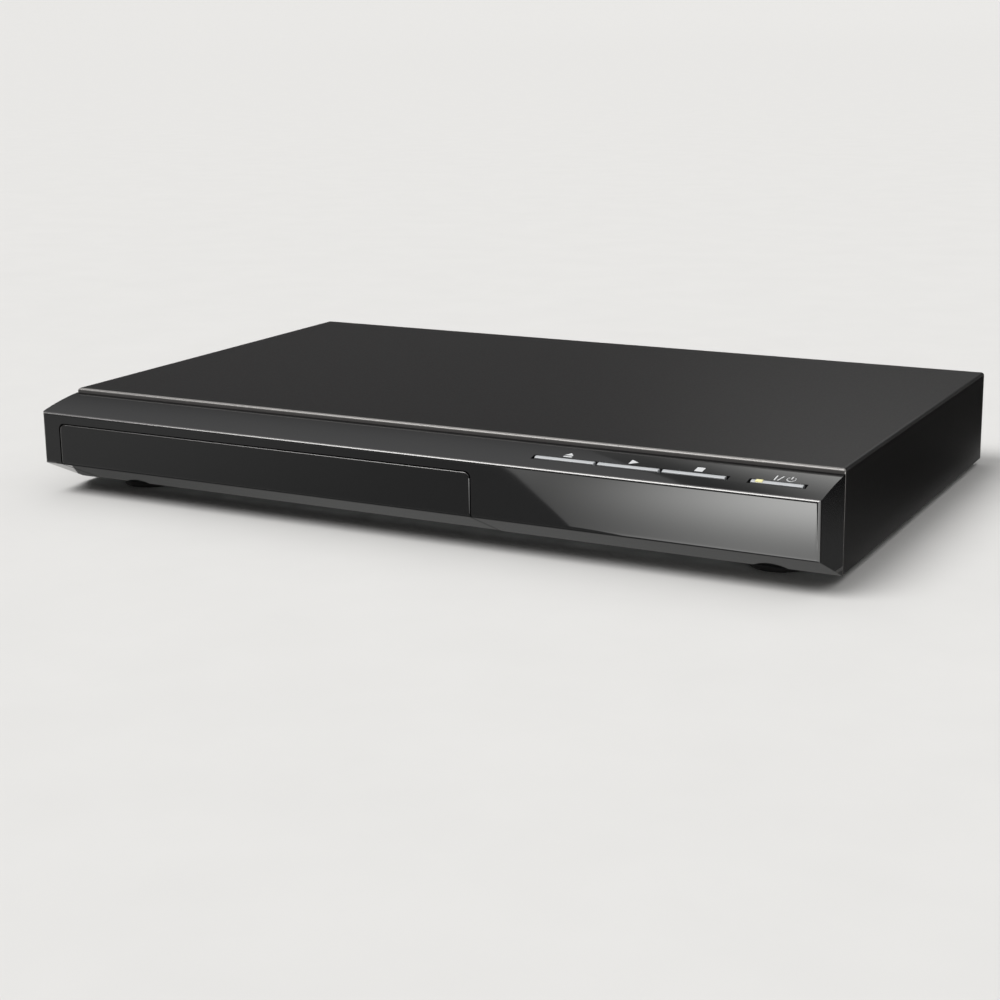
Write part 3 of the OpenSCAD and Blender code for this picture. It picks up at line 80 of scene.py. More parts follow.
def add_node(tree: bpy.types.NodeTree, kind: str, sockets: dict[Any, Any] | None = None, **settings: Any) -> Node:
    """Adds one node with its settings and its input sockets.

    Args:
        tree: the node tree that takes the node.
        kind: the node's type name.
        sockets: value of each input by name or number; a value that is an output socket is linked.
        settings: attributes of the node itself.

    Returns:
        The new node.
    """
    node = tree.nodes.new(kind)
    for name, value in settings.items():
        setattr(node, name, value)
    for key, value in (sockets or {}).items():
        if isinstance(value, Socket):
            tree.links.new(value, node.inputs[key])
        else:
            node.inputs[key].default_value = value
    return node


class Grain(Enum):
    """How a surface was made, which settles the pattern of its relief and its tone."""

    POLISHED = "polished tool"
    SPARKED = "spark-eroded tool"
    POWDER = "powder coat"
    ROLLED = "rolled or drawn along X"
    DRAWN = "drawn along Y"
    SPANGLED = "hot-dip zinc"
    CAST = "die cast"
    TRACKS = "etched circuit board"
    STRIPED = "flat conductors along Y"


@dataclass(frozen=True)
class Patch:
    """A part of a piece with another tone, found by place or by the way that it faces.

    Attributes:
        tone: sRGB hex colour of the patch.
        limits: rows of axis (0, 1 or 2 for X, Y or Z), low and high, in mm or as shares of the facing.
        facing: True where the limits are of the surface normal instead of the place.
        metal: metallic value of the patch.
        rough: roughness of the patch.
    """

    tone: str
    limits: tuple[tuple[int, float, float], ...]
    facing: bool = False
    metal: float = 0.0
    rough: float = 0.4


@dataclass(frozen=True)
class Finish:
    """One real material with the way its surface was made.

    Attributes:
        title: the material's common name and process.
        tone: its main sRGB hex colour.
        shade: the sRGB hex colour of the pattern's low parts.
        rough: mean roughness.
        spread: how far the pattern moves the roughness.
        metal: metallic value.
        ior: index of refraction.
        specular: specular level, 0.5 for the plain Fresnel amount.
        coat: weight of a clear layer.
        coat_rough: roughness of the clear layer.
        grain: the kind of pattern.
        grain_mm: size of one grain of the pattern, in mm.
        relief_mm: height of the grain, in mm.
        clear: transmission weight.
        patches: areas with another tone.
    """

    title: str
    tone: str
    shade: str
    rough: float
    spread: float = 0.05
    metal: float = 0.0
    ior: float = 1.5
    specular: float = 0.5
    coat: float = 0.0
    coat_rough: float = 0.05
    grain: Grain = Grain.SPARKED
    grain_mm: float = 0.8
    relief_mm: float = 0.01
    clear: float = 0.0
    patches: tuple[Patch, ...] = field(default_factory=tuple)

    def pattern(self, tree: bpy.types.NodeTree, place: Socket) -> Socket:
        """Adds the grain's pattern and returns its 0 to 1 height.

        The scale of a texture node is how many grains fit in a metre, 1000 / grain_mm.

        Args:
            tree: the material's node tree.
            place: Object coordinates in metres.

        Returns:
            The pattern's height.
        """
        scale = 1000 / self.grain_mm
        stretch = {Grain.ROLLED: (0.02, 1, 1), Grain.DRAWN: (1, 0.02, 1)}.get(self.grain, (1, 1, 1))
        spot = add_node(tree, "ShaderNodeMapping", {"Vector": place, "Scale": stretch}).outputs[0]
        if self.grain is Grain.SPANGLED:
            cells = add_node(tree, "ShaderNodeTexVoronoi", {"Vector": spot, "Scale": scale}, feature="F1")
            return add_node(tree, "ShaderNodeSeparateColor", {0: cells.outputs["Color"]}).outputs[0]
        if self.grain is Grain.TRACKS:
            lanes = add_node(tree, "ShaderNodeTexBrick", {
                "Vector": spot, "Scale": scale, "Mortar Size": 0.012, "Brick Width": 3.4, "Row Height": 0.45,
                "Color1": (0, 0, 0, 1), "Color2": (0.15, 0.15, 0.15, 1), "Mortar": WHITE},
                offset=0.37, squash=1.8, squash_frequency=3)
            return lanes.outputs["Color"]
        if self.grain is Grain.STRIPED:
            waves = add_node(tree, "ShaderNodeTexWave", {"Vector": spot, "Scale": scale / 10, "Distortion": 0.0},
                             wave_type="BANDS", bands_direction="X")
            return waves.outputs["Fac"]
        rounds = {Grain.POLISHED: 1.0, Grain.CAST: 6.0}.get(self.grain, 3.0)
        cloud = add_node(tree, "ShaderNodeTexNoise", {"Vector": spot, "Scale": scale, "Detail": rounds,
                                                      "Roughness": 0.6})
        return cloud.outputs["Fac"]

    def patch_share(self, tree: bpy.types.NodeTree, patch: Patch, place: Socket, facing: Socket) -> Socket:
        """Adds the nodes that tell whether a point lies in a patch.

        Args:
            tree: the material's node tree.
            patch: the patch.
            place: Object coordinates in metres.
            facing: the surface normal.

        Returns:
            1 inside the patch and 0 outside.
        """
        unit = 1.0 if patch.facing else MM
        parts = add_node(tree, "ShaderNodeSeparateXYZ", {0: facing if patch.facing else place})
        share: Socket | float = 1.0
        for axis, low, high in patch.limits:
            for limit, test in ((low, "GREATER_THAN"), (high, "LESS_THAN")):
                side = add_node(tree, "ShaderNodeMath", {0: parts.outputs[axis], 1: limit * unit}, operation=test)
                share = add_node(tree, "ShaderNodeMath", {0: side.outputs[0], 1: share},
                                 operation="MULTIPLY").outputs[0]
        return share

    def material(self) -> bpy.types.Material:
        """Builds the node material once and returns it on later calls.

        Returns:
            The material of this finish.
        """
        known = bpy.data.materials.get(self.title)
        if known:
            return known
        material = bpy.data.materials.new(self.title)
        material.use_nodes = True
        tree = material.node_tree
        tree.nodes.clear()
        place = add_node(tree, "ShaderNodeTexCoord").outputs["Object"]
        facing = add_node(tree, "ShaderNodeNewGeometry").outputs["Normal"]
        height = self.pattern(tree, place)
        tone = add_node(tree, "ShaderNodeMix", {0: height, 6: linear(self.shade), 7: linear(self.tone)},
                        data_type="RGBA").outputs[2]
        rough = add_node(tree, "ShaderNodeMapRange", {0: height, 3: self.rough - self.spread,
                                                      4: self.rough + self.spread}).outputs[0]
        metal: Socket | float = self.metal
        for patch in self.patches:
            share = self.patch_share(tree, patch, place, facing)
            tone = add_node(tree, "ShaderNodeMix", {0: share, 6: tone, 7: linear(patch.tone)},
                            data_type="RGBA").outputs[2]
            rough = add_node(tree, "ShaderNodeMix", {0: share, 2: rough, 3: patch.rough}).outputs[0]
            if patch.metal != self.metal:
                metal = add_node(tree, "ShaderNodeMix", {0: share, 2: metal, 3: patch.metal}).outputs[0]
        bump = add_node(tree, "ShaderNodeBump", {"Height": height, "Strength": 1.0, "Distance": self.relief_mm * MM})
        shader = add_node(tree, "ShaderNodeBsdfPrincipled", {
            "Base Color": tone, "Roughness": rough, "Metallic": metal, "IOR": self.ior,
            "Specular IOR Level": self.specular, "Coat Weight": self.coat, "Coat Roughness": self.coat_rough,
            "Transmission Weight": self.clear, "Normal": bump.outputs[0]})
        add_node(tree, "ShaderNodeOutputMaterial", {"Surface": shader.outputs[0]})
        return material


# Powder-coated steel: a fine even orange peel that spreads reflections and keeps them dark.
# The real grain is about 0.3 mm, under a pixel here, so it is drawn at 0.9 mm to show.
# The specular level is matched to how dark the top stays at the photo's low angle.
# The folded front edge is drawn paler and shinier than the paint itself, for the thin bright line of the photo.
# Both patches are painted highlight: the cover's front-facing faces are drawn paler, and the folded front edge paler
# and shinier.
COVER_COAT = Finish("powder_coated_steel_black", "#201f1f", "#151414", 0.36, 0.05, specular=0.12,
                    grain=Grain.POWDER, grain_mm=0.9, relief_mm=0.02,
                    patches=(Patch("#4c4a49", ((1, -1.01, -0.93),), facing=True, rough=0.3),
                             Patch("#7f7d7b", ((1, -0.93, -0.2),), facing=True, metal=0.3, rough=0.3)))
REAR_COAT = Finish("stove_enamelled_steel_black", "#2c2c2d", "#212122", 0.5, 0.05, ior=1.45, grain=Grain.POWDER,
                   grain_mm=0.7, relief_mm=0.012)
# ABS out of a polished tool: a mirror-like black with a very long, shallow waviness. Plain ABS has an index near
# 1.5, and 1.46 is matched to how dark the face stays.
# The rounded upper edges, and the door's left one, are drawn paler and shinier than the plastic itself, for the
# thin bright lines of the photo.
# The edge patch is a painted highlight on the rounded upper edges.
GLOSS_ABS = Finish("polished_abs_black", "#111112", "#0e0e0f", 0.06, 0.02, ior=1.46, grain=Grain.POLISHED,
                   grain_mm=26.0, relief_mm=0.012,
                   patches=(Patch("#686766", ((1, -0.94, -0.4), (2, 0.3, 0.95)), facing=True, metal=0.8, rough=0.2),))
# Both door patches are painted highlight: one on the rounded upper edge and one on the left edge.
DOOR_ABS = Finish("polished_abs_door_black", "#0f0f10", "#0c0c0d", 0.06, 0.02, ior=1.46, grain=Grain.POLISHED,
                  grain_mm=26.0, relief_mm=0.012,
                  patches=(Patch("#5e5d5c", ((1, -0.95, -0.4), (2, 0.3, 0.95)), facing=True, metal=0.8, rough=0.2),
                           Patch("#6a6967", ((0, -0.97, -0.25), (1, -0.97, -0.25)), facing=True, rough=0.2)))
# ABS out of a spark-eroded tool: even matt grain of about 0.3 mm, drawn at 0.6 mm.
SATIN_ABS = Finish("spark_grained_abs_black", "#222223", "#19191a", 0.48, 0.08, grain_mm=0.6, relief_mm=0.02)
TRAY_ABS = Finish("spark_grained_abs_tray_black", "#232426", "#1b1c1e", 0.42, 0.07, grain_mm=0.6, relief_mm=0.018)
FRAME_ABS = Finish("moulded_abs_grey", "#585b5d", "#4c4f51", 0.5, 0.06, grain_mm=1.2, relief_mm=0.01)
# Silver lacquer over black ABS: aluminium flakes give a soft sheen on the crown. The front-facing flanks are drawn
# near black, as painted shade.
KEY_LACQUER = Finish("silver_lacquered_abs", "#c4c6c8", "#aeb0b2", 0.36, 0.05, metal=0.3, specular=0.2,
                     grain_mm=0.25, relief_mm=0.003,
                     patches=(Patch("#1b1b1c", ((1, -1.01, -0.62),), facing=True, rough=0.3),))
# Its bright pale yellow is a painted glow of the lit lamp behind it.
LENS_CLEAR = Finish("diffusing_polycarbonate", "#f7f0bd", "#eee39c", 0.25, 0.05, ior=1.58, specular=0.2, grain_mm=0.4,
                    relief_mm=0.004)
# Screen-printed ink: thin, flat and slightly rough.
PRINT_INK = Finish("screen_print_ink_grey", "#d6d7d8", "#c4c5c6", 0.5, 0.05, grain_mm=0.3, relief_mm=0.003)
FOOT_RUBBER = Finish("moulded_rubber_black", "#1d1d1d", "#151515", 0.78, 0.08, grain_mm=0.7, relief_mm=0.02)
BELT_RUBBER = Finish("ground_rubber_belt", "#2b2b2b", "#202020", 0.7, 0.08, grain_mm=0.5, relief_mm=0.015)
BUSH_RUBBER = Finish("soft_silicone_grey", "#3a3a3b", "#2e2e2f", 0.6, 0.06, grain_mm=0.8, relief_mm=0.01)
# Hot-dip zinc on sheet steel: crystals of several millimetres, each with its own brightness.
ZINC_SHEET = Finish("hot_dip_galvanised_steel", "#b4b7b9", "#8d9092", 0.4, 0.09, metal=0.9, grain=Grain.SPANGLED,
                    grain_mm=5.0, relief_mm=0.003)
ZINC_PLATE = Finish("zinc_plated_steel", "#b9bbbd", "#a1a3a5", 0.3, 0.06, metal=0.95, grain=Grain.ROLLED,
                    grain_mm=0.35, relief_mm=0.003)
BLACK_OXIDE = Finish("black_oxide_steel", "#3b3b3d", "#2c2c2e", 0.42, 0.08, metal=0.6, grain_mm=0.5, relief_mm=0.006)
BRIGHT_ZINC = Finish("bright_zinc_screw", "#c9cbcd", "#acaeb0", 0.28, 0.06, metal=0.95, grain_mm=0.5, relief_mm=0.004)
NICKEL = Finish("nickel_plated_brass", "#d6d3cc", "#bdbab3", 0.2, 0.05, metal=1.0, grain=Grain.ROLLED, grain_mm=0.3,
                relief_mm=0.002)
MOTOR_CAN = Finish("deep_drawn_plated_steel", "#c0c3c5", "#a3a6a8", 0.3, 0.06, metal=0.95, grain=Grain.CAST,
                   grain_mm=2.0, relief_mm=0.003)
GROUND_ROD = Finish("ground_stainless_rod", "#d9dadb", "#c3c4c5", 0.14, 0.04, metal=1.0, grain=Grain.DRAWN,
                    grain_mm=0.3, relief_mm=0.001)
DIE_CAST = Finish("die_cast_zinc", "#8a8c8f", "#6d6f72", 0.5, 0.08, metal=0.8, grain=Grain.CAST, grain_mm=1.4,
                  relief_mm=0.02)
EXTRUDED = Finish("extruded_aluminium", "#bcbec0", "#a3a5a7", 0.36, 0.06, metal=0.95, grain=Grain.DRAWN,
                  grain_mm=0.4, relief_mm=0.004)
TINNED = Finish("tinned_brass_pin", "#d9c791", "#bba765", 0.26, 0.05, metal=1.0, grain=Grain.DRAWN, grain_mm=0.3,
                relief_mm=0.002)
ACETAL = Finish("moulded_acetal_white", "#e6e3d9", "#d8d4c8", 0.4, 0.05, ior=1.48, grain_mm=1.5, relief_mm=0.006)
FERRITE = Finish("ground_ferrite", "#5c5e62", "#494b4f", 0.55, 0.08, metal=0.2, grain=Grain.CAST, grain_mm=0.8,
                 relief_mm=0.012)
COATED_LENS = Finish("coated_moulded_glass", "#7f9fd0", "#6a8ac4", 0.05, 0.01, ior=1.6, coat=0.6,
                     grain=Grain.POLISHED, grain_mm=8.0, relief_mm=0.001, clear=0.5)
# Solder mask over etched copper: the tracks read as slightly lighter lanes.
SOLDER_MASK = Finish("solder_mask_green", "#3f8455", "#24583a", 0.3, 0.04, coat=0.3, grain=Grain.TRACKS,
                     grain_mm=4.0, relief_mm=0.03)
PAPER_BOARD = Finish("phenolic_paper_board", "#a8925a", "#8b7746", 0.5, 0.06, grain=Grain.TRACKS, grain_mm=7.0,
                     relief_mm=0.02)
CHIP_EPOXY = Finish("moulded_epoxy_black", "#202022", "#17171a", 0.5, 0.06, grain_mm=0.5, relief_mm=0.01)
TAPE = Finish("polyester_tape_yellow", "#c9a13f", "#b58d30", 0.3, 0.05, coat=0.3, grain=Grain.ROLLED, grain_mm=0.6,
              relief_mm=0.008)
# Shrink sleeve with the bare aluminium can showing on top.
CAN_SLEEVE = Finish("pvc_sleeved_can", "#23262f", "#1b1e26", 0.35, 0.05, coat=0.2, grain_mm=1.0, relief_mm=0.006,
                    patches=(Patch("#c3c5c7", ((2, 0.8, 1.1),), facing=True, metal=0.95, rough=0.35),))
CABLE_FILM = Finish("flat_cable_film", "#dcdcd6", "#b9b9b0", 0.35, 0.05, coat=0.2, grain=Grain.STRIPED, grain_mm=1.0,
                    relief_mm=0.02)
CONNECTOR = Finish("moulded_nylon_white", "#dad8cc", "#cbc8ba", 0.45, 0.05, grain_mm=0.8, relief_mm=0.008)
SWITCH_CAP = Finish("tact_switch_frame", "#b5b7b8", "#9fa1a2", 0.35, 0.05, metal=0.8, grain_mm=0.4, relief_mm=0.004)
# Colour-coded polypropylene collars: white, red and yellow below, blue, red and green above, orange alone.
JACK_COLLAR = Finish("moulded_polypropylene_collar", "#d8d6cf", "#cac8c0", 0.42, 0.05, grain_mm=0.6, relief_mm=0.008,
                     patches=(Patch("#b5251f", ((0, 42, 56),)), Patch("#d9b21c", ((0, 56, 70), (2, 8, 22))),
                              Patch("#2450a8", ((0, 28, 42), (2, 22, 34))),
                              Patch("#2c8a3c", ((0, 56, 70), (2, 22, 34))), Patch("#d8661c", ((0, 90, 104),))))
# Matt background paper: it mirrors nothing, so that the floor is one even tone.
STUDIO_PAPER = Finish("studio_paper", "#d8d7d5", "#d3d2d0", 0.9, 0.02, specular=0.0, grain_mm=40.0, relief_mm=0.0)


def object_of(name: str, mesh: bpy.types.Mesh, finish: Finish, body: str) -> bpy.types.Object:
    """Makes a mesh into a piece that rides on a body.

    Args:
        name: the piece's name.
        mesh: its mesh, with its place in its points.
        finish: its finish.
        body: the body that it rides on.

    Returns:
        The piece.
    """
    mesh.materials.clear()
    mesh.materials.append(finish.material())
    piece = bpy.data.objects.new(name, mesh)
    bpy.context.scene.collection.objects.link(piece)
    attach(piece, body)
    LOG.info("%s: %d faces on %s", name, len(mesh.polygons), body)
    return piece


def grid_mesh(name: str, grids: Iterable[np.ndarray], wrap_u: bool, wrap_v: bool) -> bpy.types.Mesh:
    """Turns grids of points into one mesh of quads, with the points that meet merged.

    Each grid is an array of shape (u, v, 3) in metres. A quad joins each point to its neighbours at u + 1 and
    v + 1, and a wrapped direction joins its last row to its first.

    Args:
        name: the mesh's name.
        grids: the grids of points.
        wrap_u: whether u closes on itself.
        wrap_v: whether v closes on itself.

    Returns:
        The mesh, with its normals pointing out.
    """
    points, quads, start = [], [], 0
    for grid in grids:
        rows, columns = grid.shape[:2]
        number = np.arange(rows * columns).reshape(rows, columns) + start
        far_u = np.roll(number, -1, 0) if wrap_u else number
        here = number if wrap_u else number[:-1]
        there = far_u if wrap_u else number[1:]
        if wrap_v:
            pairs = (here, there, np.roll(there, -1, 1), np.roll(here, -1, 1))
        else:
            pairs = (here[:, :-1], there[:, :-1], there[:, 1:], here[:, 1:])
        quads.append(np.stack([p.ravel() for p in pairs], 1))
        points.append(grid.reshape(-1, 3))
        start += rows * columns
    mesh = bpy.data.meshes.new(name)
    mesh.from_pydata(np.concatenate(points).tolist(), [], np.concatenate(quads).tolist())
    form = bmesh.new()
    form.from_mesh(mesh)
    bmesh.ops.remove_doubles(form, verts=form.verts, dist=MERGE)
    bmesh.ops.dissolve_degenerate(form, dist=MERGE / 10, edges=form.edges)
    bmesh.ops.recalc_face_normals(form, faces=form.faces)
    for face in form.faces:
        face.smooth = True
    for edge in form.edges:
        edge.smooth = len(edge.link_faces) != 2 or edge.calc_face_angle() < SHARP_NEW
    form.to_mesh(mesh)
    form.free()
    return mesh


def turned(profile: np.ndarray, centre: Sequence[float], axis: str = "Z", steps: int = 48) -> np.ndarray:
    """A profile carried round an axis.

    Point (u, v) is the centre plus radius(u) times the direction at angle 2 pi v / steps, plus height(u) along
    the axis.

    Args:
        profile: rows of radius and height, in mm.
        centre: foot of the axis, in mm.
        axis: "Z" for upright, "Y" for towards the back.
        steps: points round the axis.

    Returns:
        A grid of points in metres.
    """
    angle = np.linspace(0, 2 * np.pi, steps, endpoint=False)
    radius, height = profile[:, :1], np.repeat(profile[:, 1:], steps, 1)
    side, lift = radius * np.cos(angle), radius * np.sin(angle)
    parts = (side, lift, height) if axis == "Z" else (side, height, lift)
    return (np.stack(parts, 2) + np.array(centre)) * MM


def merged_copy(node: str) -> bpy.types.Mesh:
    """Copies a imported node's mesh with its doubles merged and its flat faces joined.

    Args:
        node: the node's name.

    Returns:
        A closed mesh, smooth where its faces turn by less than 32 degrees.
    """
    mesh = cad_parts[node].data.copy()
    mesh.name = node + "_skin"
    form = bmesh.new()
    form.from_mesh(mesh)
    bmesh.ops.remove_doubles(form, verts=form.verts, dist=PACKED_MERGE)
    bmesh.ops.dissolve_limit(form, angle_limit=FLAT_PACKED, verts=form.verts, edges=form.edges)
    for face in form.faces:
        face.smooth = True
    for edge in form.edges:
        edge.smooth = len(edge.link_faces) != 2 or edge.calc_face_angle() < SHARP_PACKED
    form.to_mesh(mesh)
    form.free()
    if "custom_normal" in mesh.attributes:
        mesh.attributes.remove(mesh.attributes["custom_normal"])
    return mesh


def edged_skin(node: str, finish: Finish, body: str, edge_mm: float,
               free: bool = False) -> bpy.types.Object:
    """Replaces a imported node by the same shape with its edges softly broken.

    Args:
        node: the node's name.
        finish: the skin's finish.
        body: the body that it rides on.
        edge_mm: width of the broken edges.
        free: True where short edges don't narrow the broken ones.

    Returns:
        The skin.
    """
    skin = object_of(node + "_skin", merged_copy(node), finish, body)
    bevel = skin.modifiers.new("broken_edges", "BEVEL")
    bevel.width = edge_mm * MM
    bevel.segments = 3
    bevel.limit_method = "ANGLE"
    bevel.angle_limit = SHARP_PACKED
    bevel.use_clamp_overlap = not free
    weighted = skin.modifiers.new("flat_faces_shade_flat", "WEIGHTED_NORMAL")
    weighted.keep_sharp = True
    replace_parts(skin, node)
    return skin


def dress(finish: Finish, *nodes: str) -> None:
    """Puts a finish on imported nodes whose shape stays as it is.

    Args:
        finish: the finish.
        nodes: names of the nodes.
    """
    for node in nodes:
        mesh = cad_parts[node].data
        mesh.materials.clear()
        mesh.materials.append(finish.material())
        LOG.info("%s: dressed in %s", node, finish.title)


class Symbol(Enum):
    """Printed key symbols."""

    EJECT = "open or close"
    PLAY = "play"
    STOP = "stop"
    POWER = "on or standby"


@dataclass
class Case:
    """Cover, floor, rear plate, feet and their screws. Sizes in mm."""

    foot_radius: float = 11.0
    foot_height: float = 2.5
    foot_x: float = 134.0
    foot_y: tuple[float, float] = (-71.2, 81.4)
    cover_edge: float = 0.36
    plate_edge: float = 0.12
    head_radius: float = 2.6
    head_height: float = 1.5
    shank_radius: float = 1.3
    tab_x: tuple[float, ...] = (-140.0, -20.0, 104.0)
    tab_seat: tuple[float, float] = (99.0, 32.3)
    jack_screw_x: tuple[float, ...] = (42.0, 56.0)
    plate_seat_y: float = 98.2
    foot_row_z: float = 5.4
    jack_row_z: float = 21.9
    long_shank: float = 6.0
    short_shank: float = 5.0

    def feet(self) -> None:
        """Rubber feet turned from one profile: a rounded pad with a shallow dish round its screw."""
        r, h = self.foot_radius, self.foot_height
        # from the top over the rounded rim to the ring that it stands on, then the dish and the screw's pocket
        profile = np.array([[0, h], [r - 0.5, h], [r - 0.15, h - 0.15], [r, h - 0.5], [r, 0.8], [r - 0.15, 0.35],
                            [r - 0.6, 0.05], [r - 1.0, 0.0], [r - 2.0, 0.0], [r - 2.3, 0.12], [r - 2.6, 0.5],
                            [5.2, 0.6], [4.9, 0.8], [4.7, 1.3], [0, 1.3]])
        spots = [(x, y, 0.0) for x in (-self.foot_x, self.foot_x) for y in self.foot_y]
        mesh = grid_mesh("feet_turned", [turned(profile, s, steps=56) for s in spots], False, True)
        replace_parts(object_of("feet_turned", mesh, FOOT_RUBBER, "root"), "feet")

    def cross_head(self, seat: Sequence[float], reach: float) -> np.ndarray:
        """A pan-head screw that points to the back, with a cross recess.

        A turned profile: a dome that falls with the square of the radius, a rim, the seat and the shank. Inside
        the dome the height drops by the recess depth where the point lies within half an arm's width of either
        cross line and within the arm's length, and the recess gets shallower towards its ends.

        Args:
            seat: the middle of the seat, in mm.
            reach: length of the shank, in mm.

        Returns:
            A grid of points in metres.
        """
        arm_half, arm_long, wall, deep = 0.36, 1.55, 0.12, 0.9
        r = self.head_radius
        ring = np.linspace(0, r - 0.25, 26)
        dome = np.stack([ring, self.head_height - 0.5 * (ring / r) ** 2], 1)
        rest = np.array([[r - 0.08, self.head_height - 0.62], [r, self.head_height - 0.8], [r, 0.12], [r - 0.1, 0.0],
                         [self.shank_radius, 0.0], [self.shank_radius, -reach + 0.5], [0.6, -reach], [0.0, -reach]])
        grid = turned(np.concatenate([dome, rest]), seat, "Y", steps=72)
        local = np.abs(grid / MM - np.array(seat))[..., [0, 2]]
        across, along = local.min(2), local.max(2)
        share = np.clip((arm_half + wall - across) / wall, 0, 1) * np.clip((arm_long - along) / (2 * wall), 0, 1)
        share[len(dome):] = 0
        grid[..., 1] -= share * deep * (1 - 0.4 * along / arm_long) * MM
        return grid

    def screws(self) -> None:
        """The cover's screws and the rear plate's, as cross heads."""
        high = [self.cross_head((x, *self.tab_seat), self.long_shank) for x in self.tab_x]
        low = [self.cross_head((x, self.plate_seat_y, self.foot_row_z), self.short_shank) for x in self.tab_x]
        low += [self.cross_head((x, self.plate_seat_y, self.jack_row_z), self.long_shank)
                for x in self.jack_screw_x]
        for node, grids in (("cover_screws", high), ("rear_screws", low)):
            mesh = grid_mesh(node + "_cross_head", grids, False, True)
            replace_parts(object_of(node + "_cross_head", mesh, BLACK_OXIDE, "root"), node)

    def build(self) -> None:
        """Builds the case."""
        edged_skin("top_cover", COVER_COAT, "root", self.cover_edge, free=True)
        edged_skin("rear_panel", REAR_COAT, "root", self.plate_edge)
        edged_skin("chassis_pan", ZINC_SHEET, "root", self.plate_edge)
        self.feet()
        self.screws()


@dataclass
class FrontPanel:
    """Moulded panel, tray door, keys and their printed symbols. Sizes in mm."""

    y_face: float = -105.0
    depth: float = 22.0
    face_top: float = 32.9
    fall: float = 3.8
    crown: float = 0.5
    legend_y: float = -92.5
    legend_x: tuple[float, ...] = (65.1, 89.4, 113.2, 145.0)
    legend_size: float = 1.6
    ink: float = 0.03
    panel_edge: float = 0.28
    door_edge: float = 0.36
    key_edge: float = 0.25
    window_edge: float = 0.15

    def slope(self, y: np.ndarray) -> np.ndarray:
        """Height of the sloping top at depth y: a straight fall plus a parabolic crown."""
        u = (y - self.y_face) / self.depth
        return self.face_top + self.fall * u + 4 * self.crown * u * (1 - u)

    def ink_plate(self, outline: np.ndarray, inner: np.ndarray) -> np.ndarray:
        """A thin printed plate between an outline and an inner line, following the slope.

        Ring 0 and 3 are the inner line and ring 1 and 2 the outline; rings 0 and 1 lie just under the surface
        and rings 2 and 3 one ink thickness above it, so the four rings close on themselves.

        Args:
            outline: points of the outer line, (n, 2) in mm.
            inner: points of the inner line, (n, 2) in mm.

        Returns:
            A grid of points in metres.
        """
        flat = np.stack([inner, outline, outline, inner])
        lift = np.array([-self.ink, -self.ink, self.ink, self.ink])[:, None]
        return np.dstack([flat[..., 0], flat[..., 1], self.slope(flat[..., 1]) + lift]) * MM

    def plates(self, symbol: Symbol, x: float) -> list[np.ndarray]:
        """The plates of one symbol, centred at x.

        Args:
            symbol: which symbol.
            x: its middle, in mm.

        Returns:
            Grids of points in metres.
        """
        s, y = self.legend_size, self.legend_y
        tilt = 1.15  # depth drawn longer, so that it reads square from the front
        gap, inner, middle_line, stroke_half = 38, 0.78, 0.89, 0.14  # of the power ring and the strokes beside it
        # corner points as shares of the symbol's size
        corners = {Symbol.PLAY: [(-0.9, -1), (-0.9, 1), (1, 0)],
                   Symbol.STOP: [(-0.9, -0.9), (-0.9, 0.9), (0.9, 0.9), (0.9, -0.9)],
                   Symbol.EJECT: [(-1, -0.15), (0, 1), (1, -0.15)]}
        bars = {Symbol.EJECT: [(-1, -0.95), (-1, -0.5), (1, -0.5), (1, -0.95)],
                Symbol.POWER: [(-0.13, 0.05), (-0.13, 1.15), (0.13, 1.15), (0.13, 0.05)]}
        found = []
        for shape in (corners.get(symbol), bars.get(symbol)):
            if shape:
                outline = np.array(shape) * (s, s * tilt) + (x, y)
                found.append(self.ink_plate(outline, np.repeat(outline.mean(0)[None], len(outline), 0)))
        if symbol is Symbol.POWER:
            angle = np.radians(np.linspace(90 + gap, 450 - gap, 33))
            ring = np.stack([np.cos(angle), np.sin(angle) * tilt], 1) * s
            band = np.concatenate([ring, ring[::-1] * inner]) + (x, y)
            middle = np.concatenate([ring, ring[::-1]]) * middle_line + (x, y)
            found.append(self.ink_plate(band, middle))
            for foot, head in ((-3.3, -3.3), (-2.6, -1.9)):
                stroke = np.array([(foot - stroke_half, -1), (head - stroke_half, 1), (head + stroke_half, 1),
                                   (foot + stroke_half, -1)]) * (s, s * tilt) + (x, y)
                found.append(self.ink_plate(stroke, np.repeat(stroke.mean(0)[None], 4, 0)))
        return found

    def legends(self) -> None:
        """Prints the four key symbols on the sloping top, just behind the keys."""
        for symbol, x in zip(Symbol, self.legend_x):
            name = "legend_" + symbol.name.lower()
            object_of(name, grid_mesh(name, self.plates(symbol, x), True, True), PRINT_INK, "root")

    def build(self) -> None:
        """Builds the front panel."""
        edged_skin("front_panel", GLOSS_ABS, "root", self.panel_edge)
        edged_skin("tray_door", DOOR_ABS, "tray", self.door_edge, free=True)
        for key, body in (("key_eject", "eject_button"), ("key_play", "play_button"), ("key_stop", "stop_button"),
                          ("key_power", "power_button")):
            edged_skin(key, KEY_LACQUER, body, self.key_edge)
        edged_skin("led_lens", LENS_CLEAR, "power_button", self.window_edge)
        self.legends()


@dataclass
class KeyBoard:
    """Circuit board behind the face with its switches, receiver and lamp."""

    def build(self) -> None:
        """Dresses the key board's pieces."""
        dress(SOLDER_MASK, "key_board")
        dress(SWITCH_CAP, "tact_switches")
        dress(CHIP_EPOXY, "ir_receiver")
        dress(LENS_CLEAR, "power_led")


